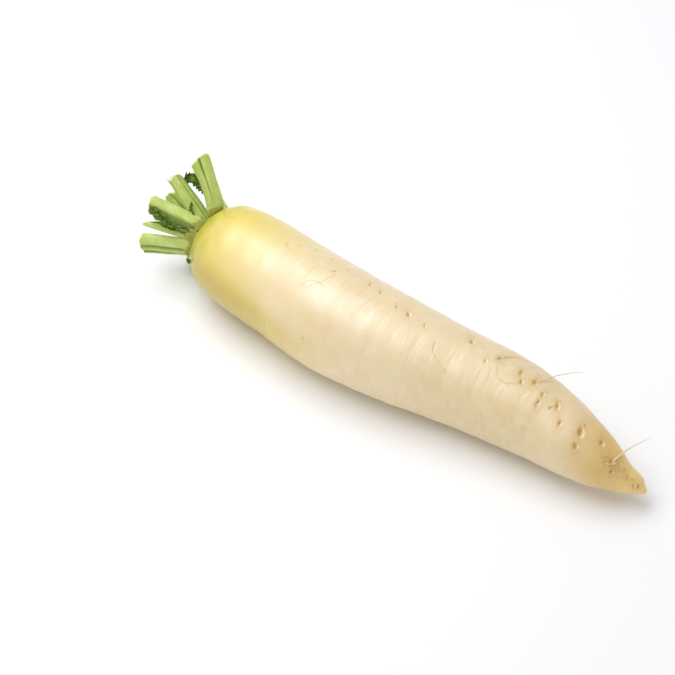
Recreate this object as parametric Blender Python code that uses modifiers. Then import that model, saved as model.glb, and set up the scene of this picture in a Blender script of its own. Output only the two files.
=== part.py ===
"""Daikon radish lying on its side, with its leaf stalks trimmed short.

Frame: metres, +Z up. The taproot lies along X, its crown (the leaf end) towards -X and its
tip towards +X. The origin is on the narrow flat that the belly rests on, under the middle
of the root.
"""

import math

import bmesh
import bpy
import numpy as np
from mathutils import Matrix, Vector

MM = 0.001
GAP = 0.3 * MM
WELD_DISTANCE = 0.001 * MM

# Taproot: the axis seen from above and the radius about it, crown to tip, in millimetres.
ROOT_SHAPE = (
    # x, y, radius
    (-144.0, 8.4, 18.5),
    (-140.0, 7.8, 24.6),
    (-134.0, 7.2, 30.0),
    (-123.0, 6.0, 33.6),
    (-103.0, 4.2, 35.7),
    (-68.0, 1.5, 36.8),
    (-28.0, -2.0, 37.8),
    (12.0, 1.5, 36.0),
    (52.0, 8.0, 33.2),
    (92.0, 13.5, 30.6),
    (127.0, 14.0, 27.2),
    (154.0, 12.0, 23.2),
    (176.0, 12.0, 16.6),
    (190.0, 14.0, 10.2),
    (200.0, 16.0, 6.0),
    (205.0, 17.0, 2.4),
)
CROWN_X = -141.5  # where the shoulder ends in the flat disc that the leaves grow from
TIP_X = 205.0
LEVEL_X = -103.0  # from here to the crown the axis stays level and the belly rises
LIFT_X = 42.0  # from here to the tip the belly curves up off the surface
TIP_LIFT = 12.0
BELLY_FLAT = 0.45  # how much of the belly the resting flat takes off
ROOT_RINGS = 54
END_CROWDING = 0.55  # how much closer the rings stand at the two ends, from 0 to 1
ROOT_RING_DETAIL = 14  # a bevel detail of 14 gives rings of 32 sides
CUTTER_SIZE = 600.0

# Leaf stalks, in millimetres about the crown's own axis. The angle runs anticlockwise as
# seen from the leaf end, from the -Y side up over the top. The ring is how far from the
# axis the base stands. The cut end lies so far outwards, sideways and along the axis.
STALK_FIELDS = ("name", "angle", "ring", "out", "side", "along", "base", "width", "depth")
STALKS = (
    ("leaf_stalk_1", 98.0, 18.3, 34.5, 5.5, 23.5, 10.5, 14.5, 7.5),
    ("leaf_stalk_2", 60.0, 18.3, 16.5, -8.5, 36.0, 10.0, 12.5, 7.5),
    ("leaf_stalk_3", 32.0, 17.6, 14.5, -9.5, 37.0, 6.0, 7.0, 4.0),
    ("leaf_stalk_4", 5.0, 18.3, 17.5, -8.0, 35.0, 10.0, 14.5, 7.5),
    ("leaf_stalk_5", -36.0, 18.3, 2.0, 0.0, 8.0, 10.5, 11.0, 6.5),
    ("leaf_stalk_6", -70.0, 18.3, 5.0, 0.0, 24.0, 10.5, 11.5, 6.5),
    ("leaf_stalk_7", -108.0, 18.3, 6.0, 1.0, 27.0, 10.5, 11.5, 6.5),
    ("leaf_stalk_8", -146.0, 18.3, 5.0, 0.0, 22.0, 10.5, 11.0, 6.5),
    ("leaf_stalk_9", 176.0, 18.3, 5.0, -1.0, 19.0, 10.5, 11.0, 6.5),
    ("leaf_stalk_10", 138.0, 16.4, 0.5, 0.0, 3.2, 10.5, 10.0, 6.0),
    ("inner_stalk_1", 84.0, 10.2, 25.5, 1.0, 32.0, 9.0, 12.0, 5.5),
    ("inner_stalk_2", -36.0, 9.8, 3.0, 0.0, 20.0, 8.5, 9.0, 5.0),
    ("inner_stalk_3", -140.0, 9.8, 4.0, 0.0, 25.0, 8.5, 9.0, 5.0),
    ("heart_stalk", 40.0, 3.5, 17.0, 12.0, 37.0, 6.0, 9.0, 4.0),
)
STALK_RINGS = 8
STALK_SIDES = 14
STALK_GROOVE = 0.5  # depth of the channel on the inner side, as a share of half the depth
STALK_BEND = (0.25, 0.42)  # where a stalk's bend lies: share of its lean, share of its rise
STALK_LEVEL_SHARE = 0.3  # over this share of its length a stalk turns away from the crown
STALK_SPREAD_SHARE = 0.6  # over this share it spreads from the size of its foot to its own
STALK_FOOT_DEPTH = 0.85  # depth of the foot, as a share of the stalk's own depth

# Leaf bases: the torn collars of older leaves, standing just outside the ring of stalks.
LEAF_BASE_THICKNESS = 1.0
LEAF_BASE_STEPS = 8
LEAF_BASE_ROWS = 3
LEAF_BASE_RAGGED = 0.35  # how much of its height the torn edge loses between its teeth
LEAF_BASE_ROUND = 0.35  # how much of its height it loses at its two ends
LEAF_BASES = (
    # name, angle, half span in degrees, ring, foot, flare, rise
    ("leaf_base_1", 96.0, 17.0, 25.0, -0.3, 5.5, 1.8),
    ("leaf_base_2", 62.0, 12.0, 23.1, 1.0, 3.4, 6.5),
    ("leaf_base_3", 33.0, 11.0, 23.1, 1.0, 3.2, 7.5),
    ("leaf_base_4", 8.0, 11.0, 23.1, 1.0, 3.4, 4.5),
    ("leaf_base_5", -70.0, 15.0, 23.1, 1.0, 2.6, 5.5),
    ("leaf_base_6", -160.0, 15.0, 23.1, 1.0, 2.6, 5.5),
)

# Torn scraps of leaf blade left between the stalks: flat outlines, and where they hang.
SCRAP_THICKNESS = 0.7
SCRAPS = (
    # name, outline, place in the crown's frame, slope from level and heading in degrees
    (
        "leaf_scrap_1",
        ((-7.3, -0.7), (-5.3, 6.3), (-2.7, 5.0), (0.7, 5.3), (6.7, 2.0), (7.3, -8.0), (2.7, -4.7),
         (-1.3, -1.3)),
        (-7.5, 31.6, 28.6),
        42.0,
        34.0,
    ),
    (
        "leaf_scrap_2",
        ((-12.0, 4.7), (-10.3, 8.1), (-6.7, 3.5), (-1.3, 3.1), (0.0, -2.3), (6.5, -5.7),
         (14.0, -7.1), (10.7, -8.0), (0.0, -5.7), (-6.0, -1.3)),
        (24.4, 22.8, 20.7),
        44.0,
        38.0,
    ),
    (
        "leaf_scrap_3",
        ((-0.3, 4.4), (-1.7, 1.7), (-0.9, -1.2), (1.0, -5.0), (1.8, -4.6), (1.3, -1.2), (0.3, 2.2)),
        (7.4, 25.3, 13.0),
        42.0,
        35.0,
    ),
    (
        "leaf_scrap_4",
        ((-9.0, 3.4), (-2.0, 0.9), (8.0, -2.6), (7.5, -4.0), (-2.0, -0.8), (-9.0, 2.0)),
        (22.7, 15.0, 15.2),
        40.0,
        37.0,
    ),
)

# A crumb of leaf stuck to the shoulder: its place on the root and its three sizes.
CRUMB_X = -136.0
CRUMB_ANGLE = 170.0
CRUMB_SIZE = (3.6, 1.8, 4.6)
CRUMB_SEGMENTS = 10

# Rootlets: fine side roots. Each passes through points given as the place along X, the
# angle round the root (0 is the +Y side, 90 the top) and the clearance over its skin.
ROOTLET_RADIUS = 0.25
ROOTLET_END = 0.6  # radius at the free end, as a share of the radius at the skin
ROOTLET_STEP = 2.2
ROOTLET_FEWEST = 5
ROOTLET_DETAIL = 1  # a bevel detail of 1 gives rings of 6 sides
ROOTLETS = (
    ("rootlet_1", ((-31, 87, 0.7), (-35, 99, 0.9), (-41, 105, 0.9), (-43, 111, 0.8))),
    ("rootlet_2", ((47, 106, 0.7), (52, 115, 1.1), (58, 122, 0.9), (67, 131, 0.7))),
    ("rootlet_3", ((71, 63, 0.7), (81, 85, 0.9), (88, 104, 0.9), (90, 115, 0.7))),
    ("rootlet_4", ((87, 80, 0.7), (91, 67, 1.4), (99, 56, 1.3), (105, 53, 0.7))),
    ("rootlet_5", ((111, 94, 0.7), (105, 104, 1.5), (98, 107, 1.8), (92, 101, 1.3), (90, 93, 0.8))),
    ("rootlet_6", ((116, 82, 0.7), (121, 62, 2.2), (124, 35, 6.0), (128, 6, 21.0))),
    ("rootlet_7", ((125, 107, 0.7), (129, 120, 1.0), (134, 131, 0.7))),
    ("rootlet_8", ((177, 117, 0.7), (178, 110, 1.3), (181, 100, 0.8))),
    ("rootlet_9", ((179, 107, 0.7), (180, 75, 2.2), (182, 37, 8.0), (185, 8, 16.5), (192, 0, 30.5))),
    ("rootlet_10", ((182, 128, 0.7), (189, 124, 1.0), (194, 118, 0.7))),
)

MATERIALS = {
    # name: colour, roughness
    "root_skin": ((0.86, 0.77, 0.58), 0.42),
    "stalk_green": ((0.46, 0.60, 0.22), 0.50),
    "leaf_base_olive": ((0.50, 0.47, 0.16), 0.62),
    "leaf_dark_green": ((0.13, 0.22, 0.03), 0.70),
    "rootlet_tan": ((0.80, 0.68, 0.42), 0.60),
}


def clear_scene():
    """Remove every object the file opened with."""
    for item in list(bpy.data.objects):
        bpy.data.objects.remove(item, do_unlink=True)


def make_material(name):
    """Build the plain finish of that name from its colour and roughness."""
    colour, roughness = MATERIALS[name]
    material = bpy.data.materials.new(name)
    material.use_nodes = True
    shader = material.node_tree.nodes["Principled BSDF"]
    shader.inputs["Base Color"].default_value = (*colour, 1.0)
    shader.inputs["Roughness"].default_value = roughness
    shader.inputs["Metallic"].default_value = 0.0
    return material


def smooth_through(places, values, at):
    """Read a smooth curve through the given values: a cubic between each pair of places,
    with the slope at each place weighed from the slopes on its two sides."""
    places = np.asarray(places, float)
    values = np.asarray(values, float)
    steps = np.diff(places)
    rises = np.diff(values) / steps
    slopes = np.empty_like(values)
    slopes[1:-1] = (rises[:-1] * steps[1:] + rises[1:] * steps[:-1]) / (steps[1:] + steps[:-1])
    slopes[0] = 1.5 * rises[0] - 0.5 * slopes[1]
    slopes[-1] = 1.5 * rises[-1] - 0.5 * slopes[-2]
    at = np.asarray(at, float)
    i = np.clip(np.searchsorted(places, at, side="right") - 1, 0, len(steps) - 1)
    t = (at - places[i]) / steps[i]
    from_left = (1 + 2 * t) * (1 - t) ** 2 * values[i] + t * (1 - t) ** 2 * steps[i] * slopes[i]
    from_right = t * t * (3 - 2 * t) * values[i + 1] + t * t * (t - 1) * steps[i] * slopes[i + 1]
    return from_left + from_right


def root_radius(x):
    """Radius of the taproot at x, in millimetres."""
    shape = np.array(ROOT_SHAPE)
    return smooth_through(shape[:, 0], shape[:, 2], x)


def root_axis(x):
    """Centre of the taproot at x, in millimetres: high enough that its belly just rests."""
    shape = np.array(ROOT_SHAPE)
    x = np.asarray(x, float)
    y = smooth_through(shape[:, 0], shape[:, 1], x)
    lift = TIP_LIFT * np.clip((x - LIFT_X) / (TIP_X - LIFT_X), 0.0, 1.0) ** 2
    z = root_radius(np.maximum(x, LEVEL_X)) - BELLY_FLAT + lift
    return np.stack([x, y, z], axis=-1)


def root_stations():
    """Where the taproot's rings stand along X: closer together where the outline turns, at
    the crown and at the tip."""
    share = np.linspace(0.0, 1.0, ROOT_RINGS)
    eased = (1.0 - END_CROWDING) * share + END_CROWDING * (0.5 - 0.5 * np.cos(math.pi * share))
    return CROWN_X + (TIP_X - CROWN_X) * eased


def over_root(x, angle, clearance):
    """Point over the taproot's skin, in millimetres, from its place and clearance."""
    half_step = 0.5
    ahead = root_axis(x + half_step)
    behind = root_axis(x - half_step)
    along = Vector(ahead - behind).normalized()
    sideways = Vector((0.0, 0.0, 1.0)).cross(along).normalized()
    upwards = along.cross(sideways)
    turn = math.radians(angle)
    reach = float(root_radius(x)) + clearance
    return Vector(root_axis(x)) + reach * (math.cos(turn) * sideways + math.sin(turn) * upwards)


def move_to(item, collection):
    """Keep an object in this collection only."""
    for other in list(item.users_collection):
        other.objects.unlink(item)
    collection.objects.link(item)


def finish(item, material, collection, sharp=30.0):
    """Give an object its finish, its collection and smooth shading."""
    item.data.materials.clear()
    item.data.materials.append(material)
    move_to(item, collection)
    item.data.shade_smooth()
    item.data.set_sharp_from_angle(angle=math.radians(sharp))


def mesh_object(name, build):
    """Make an object from a bmesh that the build function fills."""
    data = bpy.data.meshes.new(name)
    shape = bmesh.new()
    build(shape)
    bmesh.ops.recalc_face_normals(shape, faces=shape.faces)
    shape.to_mesh(data)
    shape.free()
    item = bpy.data.objects.new(name, data)
    bpy.context.scene.collection.objects.link(item)
    return item


def solid_from_curve(name, curve):
    """Turn a curve with filled caps into a mesh object of that name, its caps welded on."""
    path = bpy.data.objects.new(name + "_path", curve)
    bpy.context.scene.collection.objects.link(path)
    evaluated = path.evaluated_get(bpy.context.evaluated_depsgraph_get())
    data = bpy.data.meshes.new_from_object(evaluated)
    data.name = name
    shape = bmesh.new()
    shape.from_mesh(data)
    bmesh.ops.remove_doubles(shape, verts=shape.verts, dist=WELD_DISTANCE)
    bmesh.ops.recalc_face_normals(shape, faces=shape.faces)
    shape.to_mesh(data)
    shape.free()
    item = bpy.data.objects.new(name, data)
    item.matrix_world = path.matrix_world
    bpy.context.scene.collection.objects.link(item)
    bpy.data.objects.remove(path, do_unlink=True)
    return item


def tube(name, points, radii, detail):
    """Make a closed tube along points in millimetres, round and capped, as a mesh."""
    largest = max(radii)
    curve = bpy.data.curves.new(name + "_path", "CURVE")
    curve.dimensions = "3D"
    curve.bevel_depth = largest * MM
    curve.bevel_resolution = detail
    curve.use_fill_caps = True
    spline = curve.splines.new("POLY")
    spline.points.add(len(points) - 1)
    for knot, point, radius in zip(spline.points, points, radii):
        knot.co = (point[0] * MM, point[1] * MM, point[2] * MM, 1.0)
        knot.radius = radius / largest
    return solid_from_curve(name, curve)


def plate(name, outline, thickness):
    """Make a flat plate from its outline and thickness in millimetres, as a mesh."""
    curve = bpy.data.curves.new(name + "_outline", "CURVE")
    curve.dimensions = "2D"
    curve.fill_mode = "BOTH"
    curve.extrude = 0.5 * thickness * MM
    spline = curve.splines.new("POLY")
    spline.points.add(len(outline) - 1)
    spline.use_cyclic_u = True
    for knot, (x, y) in zip(spline.points, outline):
        knot.co = (x * MM, y * MM, 0.0, 1.0)
    return solid_from_curve(name, curve)


def make_taproot(material, parts, cutters):
    """The whole root, crown to tip, with the resting flat cut off its belly."""
    x = root_stations()
    root = tube("taproot", root_axis(x), root_radius(x), ROOT_RING_DETAIL)
    finish(root, material, parts)

    bpy.ops.mesh.primitive_cube_add(size=CUTTER_SIZE * MM)
    cutter = bpy.context.object
    cutter.name = "belly_cutter"
    cutter.location = (0.0, 0.0, -0.5 * CUTTER_SIZE * MM)
    cutter.hide_render = True
    cutter.display_type = "WIRE"
    move_to(cutter, cutters)

    flat = root.modifiers.new("resting_flat", "BOOLEAN")
    flat.operation = "DIFFERENCE"
    flat.solver = "EXACT"
    flat.object = cutter


def make_crown_frame(parts):
    """An empty on the crown disc: its Z points out along the root, its Y points up."""
    base, inner = [Vector(point) for point in root_axis(root_stations()[:2])]
    outwards = (base - inner).normalized()
    upwards = (Vector((0.0, 0.0, 1.0)) - outwards * outwards.z).normalized()
    sideways = upwards.cross(outwards)
    frame = bpy.data.objects.new("crown_frame", None)
    frame.matrix_world = Matrix.Translation(base * MM) @ Matrix(
        (sideways, upwards, outwards)
    ).transposed().to_4x4()
    parts.objects.link(frame)
    return frame


def place_on_crown(item, frame, offset, turn):
    """Parent an object to the crown, at an offset in millimetres and turned in degrees about
    the crown's axis."""
    item.parent = frame
    item.location = Vector(offset) * MM
    item.rotation_euler = (0.0, 0.0, math.radians(turn))


def ease(value):
    """Smooth step from 0 to 1."""
    value = min(max(value, 0.0), 1.0)
    return value * value * (3.0 - 2.0 * value)


def stalk_ring(stalk, t):
    """Points round a leaf stalk at the share t of its length, in its own frame: X points
    out from the crown's axis, Y sideways and Z along. The section is a crescent, round on
    its outer side and channelled on its inner one, level with the crown at its foot."""
    end = Vector((stalk["out"], stalk["side"], stalk["along"]))
    lean, rise = STALK_BEND
    bend = Vector((lean * end.x, lean * end.y, rise * end.z))
    centre = 2.0 * t * (1.0 - t) * bend + t * t * end
    heading = (2.0 * (1.0 - t) * bend + 2.0 * t * (end - bend)).normalized()
    facing = Vector((0.0, 0.0, 1.0)).lerp(heading, ease(t / STALK_LEVEL_SHARE)).normalized()
    across = facing.cross(Vector((1.0, 0.0, 0.0))).normalized()
    outwards = across.cross(facing)
    spread = ease(t / STALK_SPREAD_SHARE)
    half_width = 0.5 * (stalk["base"] + (stalk["width"] - stalk["base"]) * spread)
    half_depth = 0.5 * stalk["depth"] * (STALK_FOOT_DEPTH + (1.0 - STALK_FOOT_DEPTH) * spread)
    ring = []
    for k in range(STALK_SIDES):
        turn = 2.0 * math.pi * k / STALK_SIDES
        side = math.cos(turn)
        height = math.sin(turn)
        if height < 0.0:
            height += STALK_GROOVE * (1.0 - side * side) ** 2
        ring.append(centre + half_width * side * across + half_depth * height * outwards)
    return ring


def make_stalk(fields, frame, material, parts):
    """One leaf stalk, lofted from its foot on the crown to its clean-cut end."""
    stalk = dict(zip(STALK_FIELDS, fields))

    def build(shape):
        rings = []
        for k in range(STALK_RINGS):
            points = stalk_ring(stalk, k / (STALK_RINGS - 1))
            rings.append([shape.verts.new(point * MM) for point in points])
        for low, high in zip(rings, rings[1:]):
            for k in range(STALK_SIDES):
                n = (k + 1) % STALK_SIDES
                shape.faces.new((low[k], low[n], high[n], high[k]))
        shape.faces.new(reversed(rings[0]))
        shape.faces.new(rings[-1])

    item = mesh_object(stalk["name"], build)
    finish(item, material, parts)
    angle = math.radians(stalk["angle"])
    foot = (stalk["ring"] * math.cos(angle), stalk["ring"] * math.sin(angle), GAP / MM)
    place_on_crown(item, frame, foot, stalk["angle"])


def make_leaf_base(fields, frame, material, parts):
    """The torn collar of an older leaf: a curved strip with a ragged edge, made thick."""
    name, angle, half_span, ring, foot, flare, rise = fields

    def build(shape):
        rows = []
        for share in np.linspace(0.0, 1.0, LEAF_BASE_ROWS):
            row = []
            for k in range(LEAF_BASE_STEPS + 1):
                side = 2.0 * k / LEAF_BASE_STEPS - 1.0
                turn = math.radians(half_span * side)
                torn = 1.0 - LEAF_BASE_RAGGED * (k % 2) - LEAF_BASE_ROUND * side * side
                reach = ring + flare * share * torn
                height = foot + rise * share * torn
                place = Vector((reach * math.cos(turn), reach * math.sin(turn), height))
                row.append(shape.verts.new(place * MM))
            rows.append(row)
        for low, high in zip(rows, rows[1:]):
            for k in range(LEAF_BASE_STEPS):
                shape.faces.new((low[k], low[k + 1], high[k + 1], high[k]))

    item = mesh_object(name, build)
    finish(item, material, parts)
    wall = item.modifiers.new("wall", "SOLIDIFY")
    wall.thickness = LEAF_BASE_THICKNESS * MM
    wall.offset = 0.0
    place_on_crown(item, frame, (0.0, 0.0, 0.0), angle)


def make_scrap(fields, frame, material, parts):
    """A torn scrap of leaf blade: a thin plate that hangs at a slope and a heading."""
    name, outline, place, slope, heading = fields
    item = plate(name, outline, SCRAP_THICKNESS)
    finish(item, material, parts)
    tilt = Matrix.Rotation(math.radians(slope), 4, "X")
    swing = Matrix.Rotation(math.radians(heading), 4, "Z")
    centre = frame.matrix_world @ (Vector(place) * MM)
    item.matrix_world = Matrix.Translation(centre) @ swing @ tilt


def make_crumb(material, parts):
    """A crumb of leaf on the shoulder: a small flattened ball."""
    half = 0.5 * max(CRUMB_SIZE)
    bpy.ops.mesh.primitive_uv_sphere_add(
        segments=CRUMB_SEGMENTS, ring_count=CRUMB_SEGMENTS // 2, radius=0.5 * MM)
    item = bpy.context.object
    item.name = "leaf_crumb"
    item.data.transform(Matrix.Diagonal((*CRUMB_SIZE, 1.0)))
    item.location = over_root(CRUMB_X, CRUMB_ANGLE, half + GAP / MM) * MM
    finish(item, material, parts)


def make_rootlet(name, waypoints, material, parts):
    """A fine side root: a thin tube that thins out along a smooth line over the skin."""
    through = [over_root(*point) for point in waypoints]
    lengths = [0.0]
    for a, b in zip(through, through[1:]):
        lengths.append(lengths[-1] + (b - a).length)
    count = max(ROOTLET_FEWEST, round(lengths[-1] / ROOTLET_STEP) + 1)
    at = np.linspace(0.0, lengths[-1], count)
    points = np.stack(
        [smooth_through(lengths, [p[k] for p in through], at) for k in range(3)], axis=-1)
    radii = ROOTLET_RADIUS * np.linspace(1.0, ROOTLET_END, count)
    finish(tube(name, points, radii, ROOTLET_DETAIL), material, parts)


def main():
    clear_scene()
    parts = bpy.data.collections.new("daikon_radish")
    cutters = bpy.data.collections.new("cutters")
    bpy.context.scene.collection.children.link(parts)
    bpy.context.scene.collection.children.link(cutters)
    finishes = {name: make_material(name) for name in MATERIALS}

    make_taproot(finishes["root_skin"], parts, cutters)
    frame = make_crown_frame(parts)
    bpy.context.view_layer.update()
    for fields in STALKS:
        make_stalk(fields, frame, finishes["stalk_green"], parts)
    for fields in LEAF_BASES:
        make_leaf_base(fields, frame, finishes["leaf_base_olive"], parts)
    for fields in SCRAPS:
        make_scrap(fields, frame, finishes["leaf_dark_green"], parts)
    make_crumb(finishes["leaf_dark_green"], parts)
    for name, waypoints in ROOTLETS:
        make_rootlet(name, waypoints, finishes["rootlet_tan"], parts)


main()
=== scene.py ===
"""Looks of a daikon radish lying on its side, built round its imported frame.

Every new piece is a surface of two parameters, worked out in millimetres as whole arrays
and put into its mesh in metres, in the frame's own axes: the root lies along X, its crown
towards -X and its tip towards +X, and +Z is up.
"""

import math
from typing import NamedTuple

import bpy
import numpy as np
from bpy.props import FloatProperty, FloatVectorProperty, IntProperty, PointerProperty
from mathutils import Color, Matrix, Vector


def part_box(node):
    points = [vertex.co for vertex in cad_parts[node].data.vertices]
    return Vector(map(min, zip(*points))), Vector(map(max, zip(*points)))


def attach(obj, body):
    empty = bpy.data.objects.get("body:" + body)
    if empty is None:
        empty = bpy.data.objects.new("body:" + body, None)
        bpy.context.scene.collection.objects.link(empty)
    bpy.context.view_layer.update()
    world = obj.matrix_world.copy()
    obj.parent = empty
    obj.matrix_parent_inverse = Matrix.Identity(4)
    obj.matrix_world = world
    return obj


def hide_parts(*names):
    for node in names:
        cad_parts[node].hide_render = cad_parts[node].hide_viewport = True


bl_info = {
    "name": "Daikon Radish",
    "version": (1, 0, 0),
    "blender": (4, 5, 0),
    "location": "View3D > Sidebar > Daikon",
    "description": "Builds the skin, leaf stalks, leaf bases, leaf scraps and rootlets of a daikon radish",
    "category": "Add Mesh",
}

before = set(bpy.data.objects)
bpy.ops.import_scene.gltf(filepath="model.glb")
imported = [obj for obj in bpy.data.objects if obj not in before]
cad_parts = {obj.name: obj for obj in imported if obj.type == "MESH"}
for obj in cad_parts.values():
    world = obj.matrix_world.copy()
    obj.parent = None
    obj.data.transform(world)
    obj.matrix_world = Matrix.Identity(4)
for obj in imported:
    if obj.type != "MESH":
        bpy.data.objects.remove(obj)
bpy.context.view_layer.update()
BODY = "root"
MM = 0.001

# Taproot, as the frame's root has it: the place along X, its axis's Y and its radius.
ROOT_X, ROOT_Y, ROOT_RADIUS = np.array((
    (-144, 8.4, 18.5), (-140, 7.8, 24.6), (-134, 7.2, 30), (-123, 6, 33.6), (-103, 4.2, 35.7),
    (-68, 1.5, 36.8), (-28, -2, 37.8), (12, 1.5, 36), (52, 8, 33.2), (92, 13.5, 30.6), (127, 14, 27.2),
    (154, 12, 23.2), (176, 12, 16.6), (190, 14, 10.2), (200, 16, 6), (205, 17, 2.4),
)).T
CROWN_X = -141.5  # where the shoulder ends in the disc that the leaves grow from
TIP_X = 205.0
LEVEL_X = -103.0  # from here to the crown the axis stays level and the belly rises
LEVEL_BLEND = 6.0  # length over which the two meet smoothly
LIFT_X = 42.0  # from here to the tip the belly curves up off the surface
TIP_LIFT = 12.0
BELLY_FLAT = 0.45
NUB_LENGTH = 1.6  # how far the rounded end of the tip reaches past TIP_X
RIM_ROUNDING = 3.0  # length over which the crown's rim is rounded
PROFILE_STEP = 0.2  # even step at which the outline is rounded
COLOURS_FROM = -170.0  # where the run of colours along the root starts
UNDERSIDE_SHIFT = 46.0  # how much nearer the crown the underside's colours are: partly its own colour, partly painted shade

# Pits that side roots come out of, in one row along the root: the place along X, the
# angle round the root (0 is the +Y side, 90 the top, 180 the -Y side) and the size.
PITS = (
    (-76, 82, 0.7), (-69, 75, 0.6), (-59, 65, 0.8), (-45, 65, 0.7), (-35, 79, 1), (-30, 66, 0.9),
    (-11, 69, 1.1), (-2, 72, 1.1), (12, 76, 0.6), (13, 81, 0.9), (22, 83, 1.6), (35, 87, 0.8),
    (67, 75, 1.6), (82, 93, 0.9), (88.5, 79, 1.5), (105, 82, 1.5), (109.3, 94, 1.2), (116, 82, 1.6),
    (125, 92, 1.3), (126, 104, 1.2), (135, 100, 0.8), (137, 91, 1.7), (145, 110, 1.1), (156.4, 100, 2.2),
    (156, 84, 0.8), (159, 125, 1.6), (169, 87, 1.6), (176.7, 119, 0.8), (178.7, 105, 1.4), (180, 116, 0.7),
    (181.7, 128, 1.2), (193, 115, 0.9), (198, 136, 0.8), (200, 129, 0.8),
)
FAR_PITS = 30  # the like row on the opposite side, out of sight under the root
PIT_LENGTH = 1.5  # across the root, for a pit of size 1
PIT_WIDTH = 0.85  # along the root
PIT_REACH = 9.0  # pit sizes past which a place belongs to no pit

# Creases: partial rings, as the place along X at their two ends, the angles there, and how
# dark they are; a light one is below 0.
CREASES = (
    (-71, -71, 79, 108, 0.6), (-76, -77, 96, 112, 0.5), (-59, -61, 67, 96, 0.6), (-46, -47, 78, 110, 0.9),
    (-10, -14, 72, 106, 0.8), (-2, -7, 78, 117, 0.9), (3, 3, 80, 94, 0.7), (11, 10, 90, 124, 0.7),
    (21.5, 20, 90, 130, 0.9), (35.5, 34.5, 95, 148, 0.7), (40.5, 39, 97, 130, -0.6),
    (47, 50, 97, 153, 0.8), (49, 48, 72, 92, 0.5), (68.5, 66.5, 88, 128, -0.6), (83, 83, 97, 148, 0.9),
    (89, 89.5, 94, 134, 0.7), (100, 101, 106, 147, -0.6), (103, 106, 82, 124, 0.5),
    (111, 112, 98, 126, 0.6), (117, 117, 98, 121, -0.6), (139, 140, 102, 128, 0.6),
    (145, 146, 98, 129, 0.7), (160, 159, 77, 104, 0.5), (-28, -25, 141, 126, 0.7),
    (-82, -81, 70, 100, 0.5), (-78, -77, 56, 84, 0.5), (-73, -74, 58, 76, 0.5), (-66, -66, 62, 90, 0.6),
    (-63, -65, 96, 120, 0.4), (-54, -53, 58, 84, 0.5), (-50, -52, 66, 100, 0.5), (-42, -42, 60, 90, 0.4),
    (-24, -24, 62, 96, 0.6), (-19, -20, 72, 104, 0.5), (28, 27, 88, 122, 0.5), (56, 58, 84, 112, 0.5),
    (62, 61, 96, 135, 0.6), (75, 77, 86, 118, 0.6), (79, 80, 104, 140, 0.5), (94, 95, 92, 122, 0.5),
    (123, 124, 108, 135, 0.5), (131, 131, 98, 124, 0.6), (151, 152, 106, 130, 0.5), (165, 166, 98, 122, 0.6),
    (172, 173, 90, 112, 0.5),
)
MORE_CREASES = 96  # fainter ones on the other sides
CREASE_REACH = 1.6  # how far on either side of a crease its finish reaches

# Brown marks on the skin: the place along X, the angle and the radius.
MARKS = (
    (-29, 160, 1.2), (119, 96, 0.6), (115, 128, 0.5), (117, 141, 0.7), (127, 147, 0.9), (164, 98, 0.5),
    (171, 97, 0.5), (157.5, 112, 0.5), (-47, 107, 0.6), (-35, 101, 0.4), (96, 158, 0.9), (141, 132, 0.6),
    (70, 160, 0.7), (30, 128, 0.5), (151, 104, 0.5), (-2, 146, 0.4), (108, 118, 0.4), (186, 108, 2.6),
    (188, 104, 2.2), (183, 122, 1.6), (190, 118, 1.4), (196, 112, 1.2), (181, 110, 7.5), (175, 104, 4),
)


class Stalk(NamedTuple):
    """A leaf stalk in the crown's own frame, in millimetres and degrees."""

    angle: float  # of its foot round the crown's axis, from the -Y side up over the top
    ring: float  # from the crown's axis to its foot
    end: tuple  # where the cut end lies from the foot: outwards, sideways and along
    widths: tuple = (10.5, 11, 11)  # at the foot, the middle and the end
    depths: tuple = (5.5, 6.5, 6.5)
    trim: tuple = (0.8, 0.2, 0, 0.2, 0.8)  # how far the cut is set back at five places across
    slant: float = 0  # how much further it is set back for each half depth outwards
    painted_shade: tuple = ()  # bands of painted shade in dark green: the place across, half width, strength and start
    grooves: tuple = ()  # in the outer side: the place across, half width, depth and start
    roll: float = 0  # turn of the section about the stalk
    channel: float = 0.7  # how deep the inner side is hollowed, in half depths
    bend: tuple = (0.25, 0.42)  # where it bends, as shares of its lean and of its rise
    low_edge: tuple = (1, 1, 1, 1, 1)  # shares of the half width on the low side, foot to end
    high_edge: tuple = (1, 1, 1, 1, 1)  # and on the high side


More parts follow.
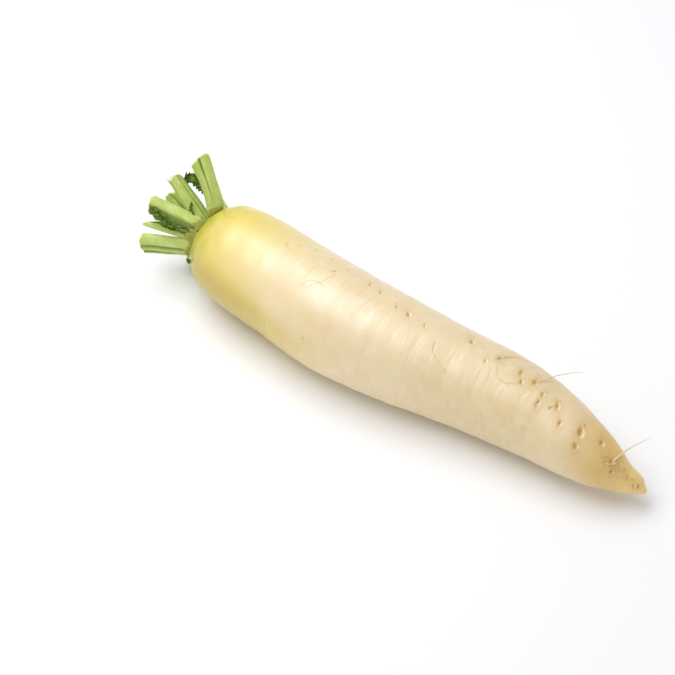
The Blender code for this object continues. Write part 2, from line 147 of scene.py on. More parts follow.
STALKS = {
    "leaf_stalk_1": Stalk(
        100, 18.6, (37.8, 5.9, 24.9), (13, 12.8, 10.4), (6.4, 7.5, 7.5), (6.6, 3, 1, 1.2, 4.4),
        painted_shade=((-0.4, 0.07, 1, 0.45), (-1, 0.2, 0.4, 0.3)), grooves=((-0.4, 0.1, 2.4, 0.55),), roll=8,
        channel=1.2, bend=(0.34, 0.26), low_edge=(1, 1, 1, 1.2, 1.95), high_edge=(1, 1, 0.95, 0.9, 0.84)),
    "leaf_stalk_2": Stalk(
        60, 18.3, (16.6, -8.1, 36.3), (11.5, 12.5, 12.5), (6.4, 9, 8.5), (1, 0.3, -0.4, -0.3, 1), -0.5,
        painted_shade=((-0.75, 0.55, 1.15, 0),), roll=-6, channel=0.8),
    "leaf_stalk_3": Stalk(
        32, 17.6, (13.9, -6.5, 38.5), (6, 7, 7), (3.4, 4, 3), (1, 0, 2, 5, 9), painted_shade=((0.45, 0.22, 1, 0),),
        grooves=((0.35, 0.14, 1.2, 0.1),), channel=1, low_edge=(1, 1, 1, 1, 0.9),
        high_edge=(1, 1, 1.15, 1.9, 0.6)),
    "leaf_stalk_4": Stalk(
        5, 18.3, (17.1, -7.6, 35.2), (12.5, 15, 16.5), (7, 8.5, 8.5), (1.4, 0.6, -0.2, -0.2, 1.8),
        painted_shade=((0.02, 0.2, 0.8, 0), (-0.62, 0.07, 0.8, 0)),
        grooves=((0.08, 0.1, 0.7, 0), (-0.52, 0.07, 1.2, 0.2)), roll=4, channel=0.9),
    "leaf_stalk_5": Stalk(-36, 18.3, (2, 0, 8)),
    "leaf_stalk_6": Stalk(
        -70, 18.3, (5, 0, 24), (10.5, 11.5, 11.5), trim=(2, 0.8, 0, -0.6, 0), slant=0.5,
        painted_shade=((0.3, 0.2, 0.6, 0),), grooves=((0.3, 0.12, 0.8, 0.2),)),
    "leaf_stalk_7": Stalk(
        -108, 18.3, (6, 1, 27), (10.5, 11.5, 11.5), trim=(0, -0.5, 0, 0.8, 2.4), slant=1,
        painted_shade=((-0.5, 0.3, 0.7, 0),)),
    "leaf_stalk_8": Stalk(
        -146, 18.3, (5, 0, 22), trim=(2.2, 0.6, 0, -0.5, 0.8), slant=-0.5, painted_shade=((0.6, 0.3, 0.6, 0),),
        grooves=((-0.2, 0.1, 0.7, 0.3),)),
    "leaf_stalk_9": Stalk(
        176, 18.3, (5, -1, 19), trim=(0.4, -0.6, 0, 1, 2.6), slant=0.4, painted_shade=((0, 0.3, 0.5, 0),)),
    "leaf_stalk_10": Stalk(138, 16.4, (0.5, 0, 3.2), (10.5, 10, 10), (5.5, 6, 6)),
    "inner_stalk_1": Stalk(
        80, 10.2, (27, 3.6, 35.2), (11, 12.8, 10.4), (5, 6, 5), (2.6, 0.6, -0.8, 0.2, 3.4),
        painted_shade=((0.8, 0.4, 0.5, 0), (0.3, 0.07, 0.7, 0), (-0.95, 0.12, 0.5, 0)),
        grooves=((0.3, 0.1, 1, 0),), roll=-8, channel=0.9),
    "inner_stalk_2": Stalk(-36, 9.8, (3, 0, 20), (8.5, 9, 9), (4.2, 5, 5), (0, 0, 0.2, 0.6, 2)),
    "inner_stalk_3": Stalk(-140, 9.8, (4, 0, 25), (8.5, 9, 9), (4.2, 5, 5), (2, 0.6, 0, 0, 0.8), 0.5),
    "heart_stalk": Stalk(
        40, 3.5, (17, 12, 37), (7, 9, 9.5), (3.4, 4.5, 4.5), (3, 0.6, 0, 0.6, 3),
        painted_shade=((0.5, 0.16, 0.7, 0),)),
}
FRAYED_STALK = "inner_stalk_1"
FRAYED_RADII = (0.24, 0.08)  # of a torn fibre, from its foot to its end
FRAYED_SEED = 60
LEVEL_SHARE = 0.3  # over this share of its length a stalk turns away from the crown
STALK_ROOTED = 1.5  # how far a stalk's foot reaches into the crown
SHARPEST = math.radians(50)  # edges of a stalk that turn more than this stay sharp

# Leaf bases: torn collars of older leaves, just outside the ring of stalks, as the frame
# has them: the angle, half span in degrees, ring, foot, flare and rise.
LEAF_BASES = {
    "leaf_base_1": (95, 15, 24.4, 0.2, 1.5, 1.3),
    "leaf_base_2": (63, 11, 22.6, 0.4, 1.6, 3.4),
    "leaf_base_3": (38, 11, 22.4, 0.2, 1.6, 5),
    "leaf_base_4": (8, 11, 22.4, 0, 1.4, 2),
    "leaf_base_5": (-70, 15, 23.1, 1, 2.6, 5.5),
    "leaf_base_6": (-160, 15, 23.1, 1, 2.6, 5.5),
}
LEAF_BASE_GRID = (14, 64)  # rows and columns of points

# Scraps of leaf blade, as the frame has them: two edges of a torn strip, its place in the
# crown's frame, its slope from level and its heading in degrees.
SCRAPS = {
    "leaf_scrap_1": (
        ((-7.8, -0.4), (-1.5, -1.5), (3, -5.3), (8.2, -9)),
        ((-6, 5.6), (0.8, 6), (7.5, 2.2), (9, -6.7)), (-6.7, 31.9, 25.6), 42, 34),
    "leaf_scrap_2": (
        ((-12, 4.7), (-6, -1.3), (0, -5.7), (13, -8)),
        ((-10.3, 8.1), (-1.3, 3.1), (3, -4), (14, -7.1)), (24.4, 22.8, 20.7), 44, 38),
    "leaf_scrap_3": (
        ((-0.6, 4.2), (-1.7, 1.7), (-0.9, -1.2), (1, -5)),
        ((-0.1, 4.4), (0.3, 2.2), (1.3, -1.2), (1.8, -4.6)), (7.4, 25.3, 13), 42, 35),
    "leaf_scrap_4": (
        ((-9, 2), (-2, -0.8), (3, -2.5), (7.5, -4)),
        ((-9, 3.4), (-2, 0.9), (3, -0.9), (8, -2.6)), (22.7, 15, 15.2), 40, 37),
}
SCRAP_GRID = (26, 72)
CRUMB_X = -136.0
CRUMB_ANGLE = 170.0
CRUMB_SIZE = np.array((3.6, 1.8, 4.6))
CRUMB_GAP = 0.3  # from the crumb's ball to the skin
CRUMB_GRID = (22, 40)

# Rootlets: how thick each is where it leaves the root, as a share of the common radius,
# and the points it passes through, given as the place along X, the angle round the root
# and the clearance over its skin.
ROOTLETS = {
    "rootlet_1": (0.3, (
        (-32, 83, 0.2), (-34.4, 93, 0.3), (-35, 99, 0.3), (-37.9, 101, 0.3), (-40.9, 103, 0.3),
        (-42.9, 106, 0.3), (-43.3, 111, 0.3), (-41.4, 113, 0.4), (-39.9, 111, 0.6), (-38.4, 106, 0.8),
        (-36.6, 101.5, 0.9), (-33.5, 101, 0.4), (-31, 102, 0.2))),
    "rootlet_2": (0.8, ((46, 101, 0.1), (47, 109, 0.5), (54, 119, 0.4), (64, 128, 0.2))),
    "rootlet_3": (0.32, ((73, 73, 0.2), (79, 81, 0.3), (85, 95, 0.4), (88, 105, 0.3), (89.5, 115, 0.2))),
    "rootlet_4": (1.2, ((89, 81, 0.1), (91, 73, 0.8), (94, 65, 1), (98.5, 58, 0.8), (104, 53, 0.3))),
    "rootlet_5": (0.5, (
        (109, 95, 0.1), (107, 100, 0.6), (102.4, 106, 0.5), (99, 107, 0.4), (94.5, 104, 0.5),
        (91, 97, 0.5), (90, 91, 0.6), (91, 81, 1.4), (93.5, 73, 0.8))),
    "rootlet_6": (1.4, (
        (116.5, 82, 0), (118, 77, 0.8), (120.5, 66, 2), (122.5, 52, 3.5), (124.5, 33, 7.5), (128, 6, 21))),
    "rootlet_7": (0.8, ((125.2, 105, 0.1), (125.4, 111, 0.5), (127, 116, 0.4), (131, 114.5, 0.2))),
    "rootlet_8": (1.2, ((176.7, 119, 0), (178.7, 116, 0.8), (180.5, 108, 1.2), (181, 100, 0.4))),
    "rootlet_9": (2.2, (
        (179, 105, -0.3), (179.8, 95, 0.8), (181.2, 73, 1.6), (184.2, 32, 4.5), (187.5, 14.6, 12.8),
        (191.4, 6, 21.2), (195.5, 0, 30.2))),
    "rootlet_10": (0.9, ((182.5, 126, 0.1), (186.7, 123, 0.5), (191, 119, 0.4), (196.5, 111, 0.2))),
}
ROOTLET_STEP = 0.6
ROOTLET_END = 0.28  # thickness at the loose end, as a share of the common radius


# ---------------------------------------------------------------- shapes in numbers


def stacked(*parts):
    """Arrays side by side in a new last axis, after they are brought to one shape."""
    return np.stack(np.broadcast_arrays(*parts), axis=-1)


def running(steps):
    """Running total of steps, from 0."""
    return np.concatenate([[0], np.cumsum(steps)])


def unit(vectors):
    """Vectors scaled to length 1."""
    return vectors / np.linalg.norm(vectors, axis=-1, keepdims=True)


def ease(low, high, value):
    """Smooth step: 0 up to low, 1 from high on, and 3t^2 - 2t^3 between."""
    t = np.clip((np.asarray(value, float) - low) / (high - low), 0, 1)
    return t * t * (3 - 2 * t)


def dip(distance):
    """Bell curve exp(-d^2)."""
    return np.exp(-distance ** 2)


def smooth_through(places, values, at):
    """Read a smooth curve through values: a cubic between each pair of places, with the
    slope at each place weighed from the slopes on its two sides."""
    places, values, at = (np.asarray(a, float) for a in (places, values, at))
    steps = np.diff(places)
    rises = np.diff(values) / steps
    slopes = np.empty_like(values)
    slopes[1:-1] = (rises[:-1] * steps[1:] + rises[1:] * steps[:-1]) / (steps[1:] + steps[:-1])
    slopes[0] = 1.5 * rises[0] - 0.5 * slopes[1]
    slopes[-1] = 1.5 * rises[-1] - 0.5 * slopes[-2]
    i = np.clip(np.searchsorted(places, at, side="right") - 1, 0, len(steps) - 1)
    t = (at - places[i]) / steps[i]
    from_left = (1 + 2 * t) * (1 - t) ** 2 * values[i] + t * (1 - t) ** 2 * steps[i] * slopes[i]
    from_right = t * t * (3 - 2 * t) * values[i + 1] + t * t * (t - 1) * steps[i] * slopes[i + 1]
    return from_left + from_right


def ripples(points, wavelength, seed, waves=14):
    """Smooth relief of about -1 to 1: a sum of plane waves of about this wavelength, in
    random directions and phases."""
    rng = np.random.default_rng(seed)
    directions = unit(rng.normal(size=(waves, 3))) / (wavelength * rng.uniform(0.7, 1.5, (waves, 1)))
    phases = rng.uniform(0, 2 * math.pi, waves)
    turns = 2 * math.pi * points @ directions.T + phases
    return np.sin(turns).sum(axis=-1) * math.sqrt(2 / waves)


def root_radius(x):
    """Radius of the taproot at x."""
    return smooth_through(ROOT_X, ROOT_RADIUS, x)


def root_centre(x):
    """Centre of the taproot at x: high enough that its belly just rests on the surface."""
    lift = TIP_LIFT * np.clip((x - LIFT_X) / (TIP_X - LIFT_X), 0, 1) ** 2
    held = LEVEL_X + LEVEL_BLEND * np.log1p(np.exp((x - LEVEL_X) / LEVEL_BLEND))
    return stacked(x, smooth_through(ROOT_X, ROOT_Y, x), root_radius(held) - BELLY_FLAT + lift)


def over_root(x, angle, reach):
    """Points at x, at the angle in degrees and at a distance from the axis: the centre
    plus reach times (cos angle sideways + sin angle upwards), both square to the axis."""
    x, angle, reach = np.broadcast_arrays(x, angle, reach)
    half_step = 0.5
    along = unit(root_centre(x + half_step) - root_centre(x - half_step))
    sideways = unit(np.cross((0, 0, 1), along))
    turn = np.radians(angle)[..., None]
    spoke = np.cos(turn) * sideways + np.sin(turn) * np.cross(along, sideways)
    return root_centre(x) + reach[..., None] * spoke


def all_pits():
    """Every pit of the root: the near row, and a like row on the opposite side."""
    rng = np.random.default_rng(21)
    x = np.sort(rng.uniform(-80, 200, FAR_PITS))
    angle = 272 + rng.normal(0, 9, FAR_PITS) + 8 * np.sin(x / 45)
    size = rng.uniform(0.6, 1.2, FAR_PITS) * (1 + 0.8 * ease(40, 150, x))
    return np.concatenate([PITS, stacked(x, angle, size)])


def all_creases():
    """Every crease of the root: the listed ones, and fainter ones at even steps along it
    on the sides that those leave bare."""
    rng = np.random.default_rng(34)
    pairs = MORE_CREASES // 2
    x = np.repeat(np.linspace(-84, 184, pairs), 2) + rng.uniform(-1.2, 1.2, MORE_CREASES)
    start = np.tile((160, 290), pairs) + rng.uniform(-10, 40, MORE_CREASES)
    span = rng.uniform(20, 75, MORE_CREASES)
    tone = rng.uniform(0.25, 0.7, MORE_CREASES) * rng.choice((1, 1, -1), MORE_CREASES)
    drift = rng.normal(0, 0.8, MORE_CREASES)
    return np.concatenate([CREASES, stacked(x, x + drift, start, start + span, tone)])


def turned(angle, middle):
    """Angle measured from the middle one, wrapped to -180 to 180 degrees."""
    return (angle - middle + 180) % 360 - 180


def across_root(x, angle, middle):
    """Distance round the skin at x from the middle angle to another."""
    return np.radians(turned(angle, middle)) * float(root_radius(x))


def keep_nearest(kept, distance, *values):
    """Keep the two least distances met so far, and after them the values at the least."""
    near = distance < kept[0]
    second = np.where(near, kept[0], np.minimum(kept[1], distance))
    news = (distance, *values)
    kept[:] = [np.where(near, new, old) for new, old in zip(news, (kept[0], *kept[2:]))]
    kept.insert(1, second)


def skin_relief(x, angle, looks):
    """Height over the plain root, in millimetres, and what the skin's finish reads there.

    The height is slow swells and low rings. Each pit takes from it a hollow exp(-d^4),
    where d is the distance in pit sizes, and adds a lip exp(-d^2) on its tip side. Each
    crease is a groove exp(-(d/0.6)^2) with a low step across it, there are wrinkles on the
    nub, and flutes at the crown's rim.
    """
    radius = root_radius(np.clip(x, CROWN_X, TIP_X))
    turn = np.radians(angle)
    places = stacked(x, radius * np.cos(turn), radius * np.sin(turn))
    height = looks.swell / MM * (ripples(places, 70, 3) + 0.25 * ripples(places * (1, 0.5, 0.5), 17, 5))
    rings = ripples(places * (1, 0.10, 0.10), 7, 6) + 0.5 * ripples(places * (1, 0.12, 0.12), 2.8, 7)
    height += looks.ring_height / MM * ease(-115, -70, x) * rings

    far = np.full(x.shape, PIT_REACH)
    pits = [far, far, far, far, np.ones(x.shape)]
    stain = np.zeros(x.shape)
    slants = np.random.default_rng(8).uniform(-0.55, 0.25, len(PITS) + FAR_PITS)
    for (pit_x, pit_angle, size), slant in zip(all_pits(), slants):
        width, length = PIT_WIDTH * size, PIT_LENGTH * size
        across = across_root(pit_x, angle, pit_angle)
        along = x - pit_x + slant * across
        d = np.hypot(along / width, across / length)
        keep_nearest(pits, d, along, across, size)
        tip_side = np.hypot((along - 1.3 * width) / (0.7 * width), across / (0.85 * length))
        height += looks.pit_depth / MM * size * (
            0.35 * dip(tip_side) - np.exp(-d ** 4) - 0.3 * dip(0.42 * d))
        stain = np.maximum(stain, (0.35 + 0.5 * ease(40, 120, pit_x)) * dip(0.45 * d))

    far = np.full(x.shape, CREASE_REACH)
    creases = [far, far, far, np.zeros(x.shape)]
    for from_x, to_x, from_angle, to_angle, tone in all_creases():
        share = turned(angle, 0.5 * (from_angle + to_angle)) / (0.5 * abs(to_angle - from_angle))
        heading = np.sign(to_angle - from_angle)
        line = 0.5 * (from_x + to_x) + 0.5 * heading * share * (to_x - from_x)
        offset = x - line - 0.3 * np.sin(share * 5 + from_x) - 0.6 * share ** 2
        fade = np.clip(1 - np.abs(share) ** 3, 0, 1)
        away = np.abs(offset)
        shown = tone * fade * ease(CREASE_REACH, 0.55 * CREASE_REACH, away)
        keep_nearest(creases, np.where(np.abs(share) < 1, away, np.inf), offset, shown)
        step = 0.6 * dip(offset / 2.4) * np.tanh(offset / 0.5)
        height += looks.crease_depth / MM * fade * abs(tone) * (step - np.sign(tone) * dip(offset / 0.6))

    for mark_x, mark_angle, size in MARKS:
        across = across_root(mark_x, angle, mark_angle)
        stain = np.maximum(stain, dip((x - mark_x) / (0.7 * size)) * dip(across / size))
    nub = ease(188, 204, x)
    height += nub * (0.28 * ripples(places, 5, 8) + 0.10 * ripples(places, 2.2, 9))
    rim = ease(CROWN_X + 14, CROWN_X + 1, x)
    height += 0.35 * rim * np.sin(9 * turn + 1.5 * np.sin(2 * turn))
    return height, {
        "pit_place": stacked(*pits[2:]),
        "pit_near": ease(0, 0.9, pits[1] - pits[0]) * ease(3.4, 2.4, pits[0]),
        "crease_place": creases[2],
        "crease_tone": creases[3] * ease(0, 0.6, creases[1] - creases[0]),
        "stain": stain,
    }


def crowded_turn(columns, middle, crowding):
    """Angles of the columns round the root, in degrees, closer together about the middle
    one: their spacing is shared out as 1 / (1 + crowding exp(-(angle / 38)^2))."""
    fine = np.linspace(0, 360, 1441)
    weight = 1 + crowding * dip(turned(fine, middle) / 38)
    count = running(0.5 * (weight[1:] + weight[:-1]))
    return np.interp(np.arange(columns) / columns, count / count[-1], fine)


def skin_profile(rows):
    """Places along X and radii of the skin's rows, from the middle of the crown's disc,
    over its rim and along the root, to the end of the nub, whose last stretch is a quarter
    circle. A moving average along the line rounds the rim."""
    side = np.linspace(CROWN_X, TIP_X, 900)
    arc = np.linspace(0, 0.5 * math.pi, 24)[1:]
    radii = root_radius(side)
    disc = np.linspace(0, radii[0], 40)
    x = np.concatenate([np.full(disc.shape, CROWN_X), side[1:], TIP_X + NUB_LENGTH * np.sin(arc)])
    r = np.concatenate([disc, radii[1:], radii[-1] * np.cos(arc)])
    length = running(np.hypot(np.diff(x), np.diff(r)))
    even = np.arange(0, length[-1] + PROFILE_STEP, PROFILE_STEP)
    window = np.hanning(int(RIM_ROUNDING / PROFILE_STEP) * 2 + 1)
    inner = slice(len(window) // 2, -(len(window) // 2))
    weights = np.convolve(np.ones_like(even), window, mode="same")
    outline = []
    for values in (x, r):
        line = np.interp(even, length, values)
        line[inner] = (np.convolve(line, window, mode="same") / weights)[inner]
        outline.append(line)
    crowding = np.interp(
        outline[0], (CROWN_X, -95, -75, 140, 175, TIP_X), (0.7, 0.7, 1.1, 1.15, 1.5, 2.4))
    count = running(crowding[1:])
    at = np.interp(np.linspace(0, count[-1], rows), count, even)
    return [np.interp(at, even, line) for line in outline]


def crown_frame():
    """Origin and the three directions of the crown's own frame: X to the -Y side, Y up, Z
    out along the root's axis."""
    base, inner = root_centre(np.array((CROWN_X, CROWN_X + 2)))
    outwards = unit(base - inner)
    upwards = unit(np.array((0, 0, 1)) - outwards * outwards[2])
    return base, np.stack([np.cross(upwards, outwards), upwards, outwards])


def from_crown(points):
    """Points given in the crown's frame, in the frame's own axes."""
    base, directions = crown_frame()
    return base + np.asarray(points, float) @ directions


def stalk_points(stalk, looks):
    """Grid of points over a leaf stalk, in the frame's own axes, with its masks.

    The section at each place along is a crescent: its outer side is a half ellipse with
    fine ribs, sin a + rib cos(n s), where s = cos a runs across it, less each groove
    exp(-((s - place) / half width)^2), and its inner side is hollowed by
    channel (1 - s^2)^1.5. It is carried along a bent line, 2t(1-t) bend + t^2 end. The
    last rows fold the rim in to a line between the two sides, which closes the cut end.
    """
    end = np.array(stalk.end, float)
    bend = end * np.array(stalk.bend)[[0, 0, 1]]
    length = float(np.linalg.norm(end))
    t = np.concatenate([[-STALK_ROOTED / length], np.linspace(0, 1, looks.rows - 1)])[:, None]
    point = 2 * t * (1 - t) * bend + t * t * end
    heading = unit((1 - t) * bend + t * (end - bend))
    level = ease(0, LEVEL_SHARE, t)
    facing = unit((1 - level) * np.array((0, 0, 1)) + level * heading)
    flat = unit(np.cross(facing, (1, 0, 0)))
    steep = np.cross(flat, facing)
    roll = math.radians(stalk.roll) * ease(0, 1, t)
    across = (np.cos(roll) * flat + np.sin(roll) * steep)[:, None]
    outwards = (np.cos(roll) * steep - np.sin(roll) * flat)[:, None]
    held = np.clip(t, 0, 1)
    half_width, half_depth = (
        0.5 * smooth_through((0, 0.5, 1), sizes, held) for sizes in (stalk.widths, stalk.depths))
    low, high = (
        smooth_through((0, 0.25, 0.5, 0.75, 1), edge, held) for edge in (stalk.low_edge, stalk.high_edge))

    turn = np.linspace(0, 2 * math.pi, looks.sides, endpoint=False)
    s = np.cos(turn)
    height = np.sin(turn)
    outer = height > 0
    opened = ease(0, 0.3, held)
    channel = np.where(outer, 0, stalk.channel * (1 - s * s) ** 1.5)
    ribs = np.cos((5 + 0.35 * stalk.widths[1]) * math.pi * s + stalk.angle)
    ribs = looks.rib_depth / MM * ribs * np.where(outer, 1 - s ** 4, 0.35 * (1 - s ** 2))
    rise = half_depth * (height + channel * opened) + ribs * (1 + 1.6 * ease(0.4, 0.05, held))
    for place, half, depth, start in stalk.grooves:
        rise = rise - depth * dip((s - place) / half) * outer * ease(start, start + 0.4, held + 0.001)
    wobble = 0.25 * ripples(stacked(length * t, 0, stalk.angle), 26, 4)
    breadth = half_width * np.where(s < 0, low, high) * s + wobble
    points = point[:, None] + breadth[..., None] * across + rise[..., None] * outwards
    points = points + (0.12 * opened * ripples(points, 11, 12))[..., None] * outwards
    set_back = smooth_through((-1, -0.5, 0, 0.5, 1), stalk.trim, s) + stalk.slant * height
    set_back = set_back + 0.2 * np.sin(7 * turn + stalk.angle) + 0.12 * np.sin(17 * turn)
    points = points - (ease(0.35, 1, held) * set_back)[..., None] * heading[:, None]

    rim = points[-1]
    middle = 0.5 * (rim + rim[-np.arange(looks.sides) % looks.sides])
    middle = middle + 0.12 * (middle.mean(axis=0) - middle)
    fold = np.concatenate([[0.06, 0.14], np.linspace(0.3, 1, looks.cap_rows - 2)])[:, None]
    dish = np.interp(fold, (0, 0.06, 0.14, 0.5, 1), (0, -0.24, -0.1, 0.6, 1))
    cap = rim + fold[..., None] * (middle - rim)
    cap = cap - dish[..., None] * heading[-1] * looks.cut_dish / MM

    cut = np.concatenate([0 * t, np.minimum(1, fold / 0.14)])
    along = np.concatenate([held, 0 * fold + 1])
    # Painted shade: the inner side with its channel, and the listed bands, are painted dark green where
    # shade falls on a stalk.
    painted_shade = np.where(outer, 0, 0.75 * (1 - s * s)) * np.ones_like(along)
    for place, half, strength, start in stalk.painted_shade:
        band = strength * dip((s - place) / half) * outer
        painted_shade = np.maximum(painted_shade, band * ease(start - 0.2, start + 0.1, along))
    painted_shade = painted_shade * (1 - cut) * (0.35 + 0.65 * ease(0, 0.3, along))
    masks = dict(zip(("along", "cut", "painted_shade"), np.broadcast_arrays(along, cut, painted_shade)))
    lengths = np.concatenate([t * length, length + fold * half_depth[-1]])[:, 0]
    grid = np.concatenate([points, cap]) + (stalk.ring, 0, 0)
    return from_crown(grid @ turned_by(0, stalk.angle).T), masks, lengths


def turned_by(slope, heading):
    """Matrix that turns by a slope about X, then by a heading about Z, in degrees."""
    a, b = math.radians(slope), math.radians(heading)
    tilt = np.array(((1, 0, 0), (0, math.cos(a), -math.sin(a)), (0, math.sin(a), math.cos(a))))
    swing = np.array(((math.cos(b), -math.sin(b), 0), (math.sin(b), math.cos(b), 0), (0, 0, 1)))
    return swing @ tilt


def fibre_path(rim, heading, seed):
    """Line of a torn fibre out of a cut end: from a point of its rim along the stalk's
    heading, bent aside as the square of the way along, with slow sideways kinks."""
    rng = np.random.default_rng(seed)
    start = rim[int(len(rim) * rng.uniform(0.36, 0.62))]
    length = rng.uniform(1.5, 4.8)
    aside = unit(np.cross(heading, rng.normal(size=3)))
    share = np.linspace(-0.15, 1, 14)[:, None]
    lean = rng.uniform(0.3, 1.1)
    path = start + length * share * (heading + lean * share * aside)
    return path + 0.12 * np.sin(5 * share + seed) * np.cross(heading, aside)


def leaf_base_points(angle, half_span, ring, foot, flare, rise, looks):
    """Grid of points over a torn collar, in the frame's own axes, with its masks. At share
    v up it and share u along it, its distance from the crown's axis is ring + flare v h(u)
    and its height foot + rise v h(u), where h is its torn height: less at its two ends and
    jagged by waves of several lengths."""
    rows, columns = LEAF_BASE_GRID
    u = np.linspace(-1, 1, columns)
    v = np.linspace(0, 1, rows)[:, None]
    phases = np.random.default_rng(angle % 97).uniform(0, 2 * math.pi, 3)
    torn = sum(k * np.sin(n * u + p) for k, n, p in zip((0.6, 0.45, 0.2), (4.3, 10.3, 22.3), phases))
    h = 1 - 0.75 * u ** 6 + looks.collar_tear * torn
    bulge = 0.6 * np.sin(math.pi * v) + 0.15 * np.sin(9 * u + phases[0]) * v
    placed = np.radians(angle + half_span * u * (1 + 0.12 * v))
    reach = ring + (flare + looks.collar_curl / MM * v * v) * v * h + bulge
    height = foot - 0.8 * (1 - v) + rise * v * h
    return from_crown(stacked(reach * np.cos(placed), reach * np.sin(placed), height)), {"edge": v + 0 * h}


def scrap_points(lower, upper, place, slope, heading, looks):
    """Grid of points over a torn scrap of leaf blade, with its masks: straight across from
    one smooth edge to the other, both edges jagged, and crinkled by ripples of two
    wavelengths."""
    rows, columns = SCRAP_GRID
    u = np.linspace(0, 1, columns)
    knots = np.linspace(0, 1, len(lower))
    first, second = (
        stacked(*(smooth_through(knots, row, u) for row in zip(*edge))) for edge in (lower, upper))
    v = np.linspace(0, 1, rows)[:, None]
    flat = (1 - v[..., None]) * first + v[..., None] * second
    rough = stacked(flat[..., 0], flat[..., 1], 0)
    seed = 40 + int(abs(place[0]) * 10)
    side = 2 * v - 1
    breadth = np.linalg.norm(second - first, axis=-1)
    tears = looks.scrap_tear / MM * side ** 2 * ripples(rough, 2.2, seed) * ease(0.3, 3, breadth)
    outward = (second - first) / np.maximum(breadth, 0.5)[:, None]
    flat = flat + (tears * np.sign(side))[..., None] * outward
    folds = ripples(rough, 5, seed + 1) + 0.45 * ripples(rough, 1.9, seed + 2)
    folds = folds * ease(0.2, 3, breadth)
    points = stacked(flat[..., 0], flat[..., 1], looks.crinkle / MM * folds)
    # The fold mask is highest on the crests of the crinkles, which the finish paints lighter as a painted
    # highlight.
    masks = {"fold": np.clip(0.5 + 0.5 * folds, 0, 1)}
    return points @ turned_by(slope, heading).T + from_crown(place), masks


def tube_points(path, radii, sides):
    """Grid of points round a path: rings of the given radii, square to its heading."""
    heading = unit(np.gradient(path, axis=0))
    first = unit(np.cross(heading, (0.31, 0.52, 0.79)))
    second = np.cross(heading, first)
    turn = np.linspace(0, 2 * math.pi, sides, endpoint=False)[:, None]
    circle = np.cos(turn) * first[:, None] + np.sin(turn) * second[:, None]
    return path[:, None] + radii[:, None, None] * circle


def rootlet_path(waypoints, kink, seed, skin_looks):
    """Smooth line through waypoints over the root's skin, read at even steps and held at
    its clearance over the skin's relief, with slow sideways kinks that leave its ends."""
    x, angle, clearance = np.array(waypoints, float).T
    through = over_root(x, angle, root_radius(x) + clearance)
    lengths = running(np.linalg.norm(np.diff(through, axis=0), axis=1))
    at = np.linspace(0, lengths[-1], int(lengths[-1] / ROOTLET_STEP) + 2)
    x, angle, clearance = (smooth_through(lengths, values, at) for values in (x, angle, clearance))
    path = over_root(x, angle, root_radius(x) + skin_relief(x, angle, skin_looks)[0] + clearance)
    share = at / lengths[-1]
    rng = np.random.default_rng(seed)
    sideways = unit(np.cross(unit(np.gradient(path, axis=0)), (0.2, -0.3, 0.93)))
    waves = np.sin(at / 2.3 + rng.uniform(0, 6)) + 0.6 * np.sin(at / 1.1 + rng.uniform(0, 6))
    return path + (kink * waves * np.sin(math.pi * share))[:, None] * sideways, share


def surface(name, points, around=True, poles=(), zipped=False, masks=None, grain=None):
    """Put a grid of points in millimetres into a mesh object, in metres.

    Quads join neighbouring rows and columns, and around joins the last column to the
    first. A pole point closes the first row, or the first and the last, with a fan. A
    zipped grid is closed by joining each point of its last row to the one mirrored across
    the section. Masks become point attributes, and grain, the length at each row and the
    girth, a UV map in metres, across and along.
    """
    rows, columns = points.shape[:2]
    index = np.arange(rows * columns).reshape(rows, columns)
    ring = np.arange(columns)
    if zipped:
        index[-1] = index[-1][np.minimum(ring, -ring % columns)]
    r, c = np.mgrid[0:rows - 1, 0:columns if around else columns - 1]
    row_of = stacked(r, r, r + 1, r + 1).reshape(-1, 4)
    column_of = stacked(c, c + 1, c + 1, c).reshape(-1, 4)
    faces = [index[row_of, column_of % columns]]
    loops = [stacked(row_of, column_of).reshape(-1, 2)]
    for k in range(len(poles)):
        row = (0, rows - 1)[k]
        step = stacked(ring, ring + 1) if k else stacked(ring + 1, ring)
        faces.append(np.column_stack([index[row][step % columns], np.full(columns, rows * columns + k)]))
        loops.append(stacked(row, np.column_stack([step, ring + 0.5]).ravel()))
    places = np.concatenate([points.reshape(-1, 3), *np.reshape(poles, (-1, 1, 3))])
    used = np.unique(np.concatenate([face.ravel() for face in faces]))

    mesh = bpy.data.meshes.new(name)
    polygons = [polygon for face in faces for polygon in np.searchsorted(used, face).tolist()]
    mesh.from_pydata((places[used] * MM).tolist(), [], polygons)
    for label, values in (masks or {}).items():
        size = values.shape[2] if values.ndim == 3 else 1
        at_poles = [values[row].mean(axis=0) for row in (0, -1)[:len(poles)]]
        filled = np.concatenate([values.reshape(-1, size), np.reshape(at_poles, (-1, size))])
        kind, field = ("FLOAT", "value") if size == 1 else ("FLOAT_VECTOR", "vector")
        attribute = mesh.attributes.new(label, kind, "POINT")
        attribute.data.foreach_set(field, filled[used].astype(np.float32).ravel())
    if grain is not None:
        lengths, girth = grain
        row, column = np.concatenate(loops).T
        uv = stacked(column / columns * girth, lengths[row.astype(int)]) * MM
        mesh.uv_layers.new(name="grain").data.foreach_set("uv", uv.astype(np.float32).ravel())
    mesh.validate()
    mesh.shade_smooth()
    piece = bpy.data.objects.new(name, mesh)
    bpy.context.scene.collection.objects.link(piece)
    return piece


def build_sheets(table, shape, looks, thickness, material):
    """Build a table's open sheets, each with its thickness in metres, half on each side."""
    for name, fields in table.items():
        points, masks = shape(*fields, looks)
        piece = surface(name + "_fine", points, around=False, masks=masks)
        wall = piece.modifiers.new("wall", "SOLIDIFY")
        wall.thickness = thickness
        wall.offset = 0
        settle(piece, name, material)


def settle(piece, node, material):
    """Let a piece stand for a CAD node, ride on the root, and take its finish."""
    piece.data.materials.append(material)
    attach(piece, BODY)
    if node:
        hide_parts(node)


# ---------------------------------------------------------------- finishes


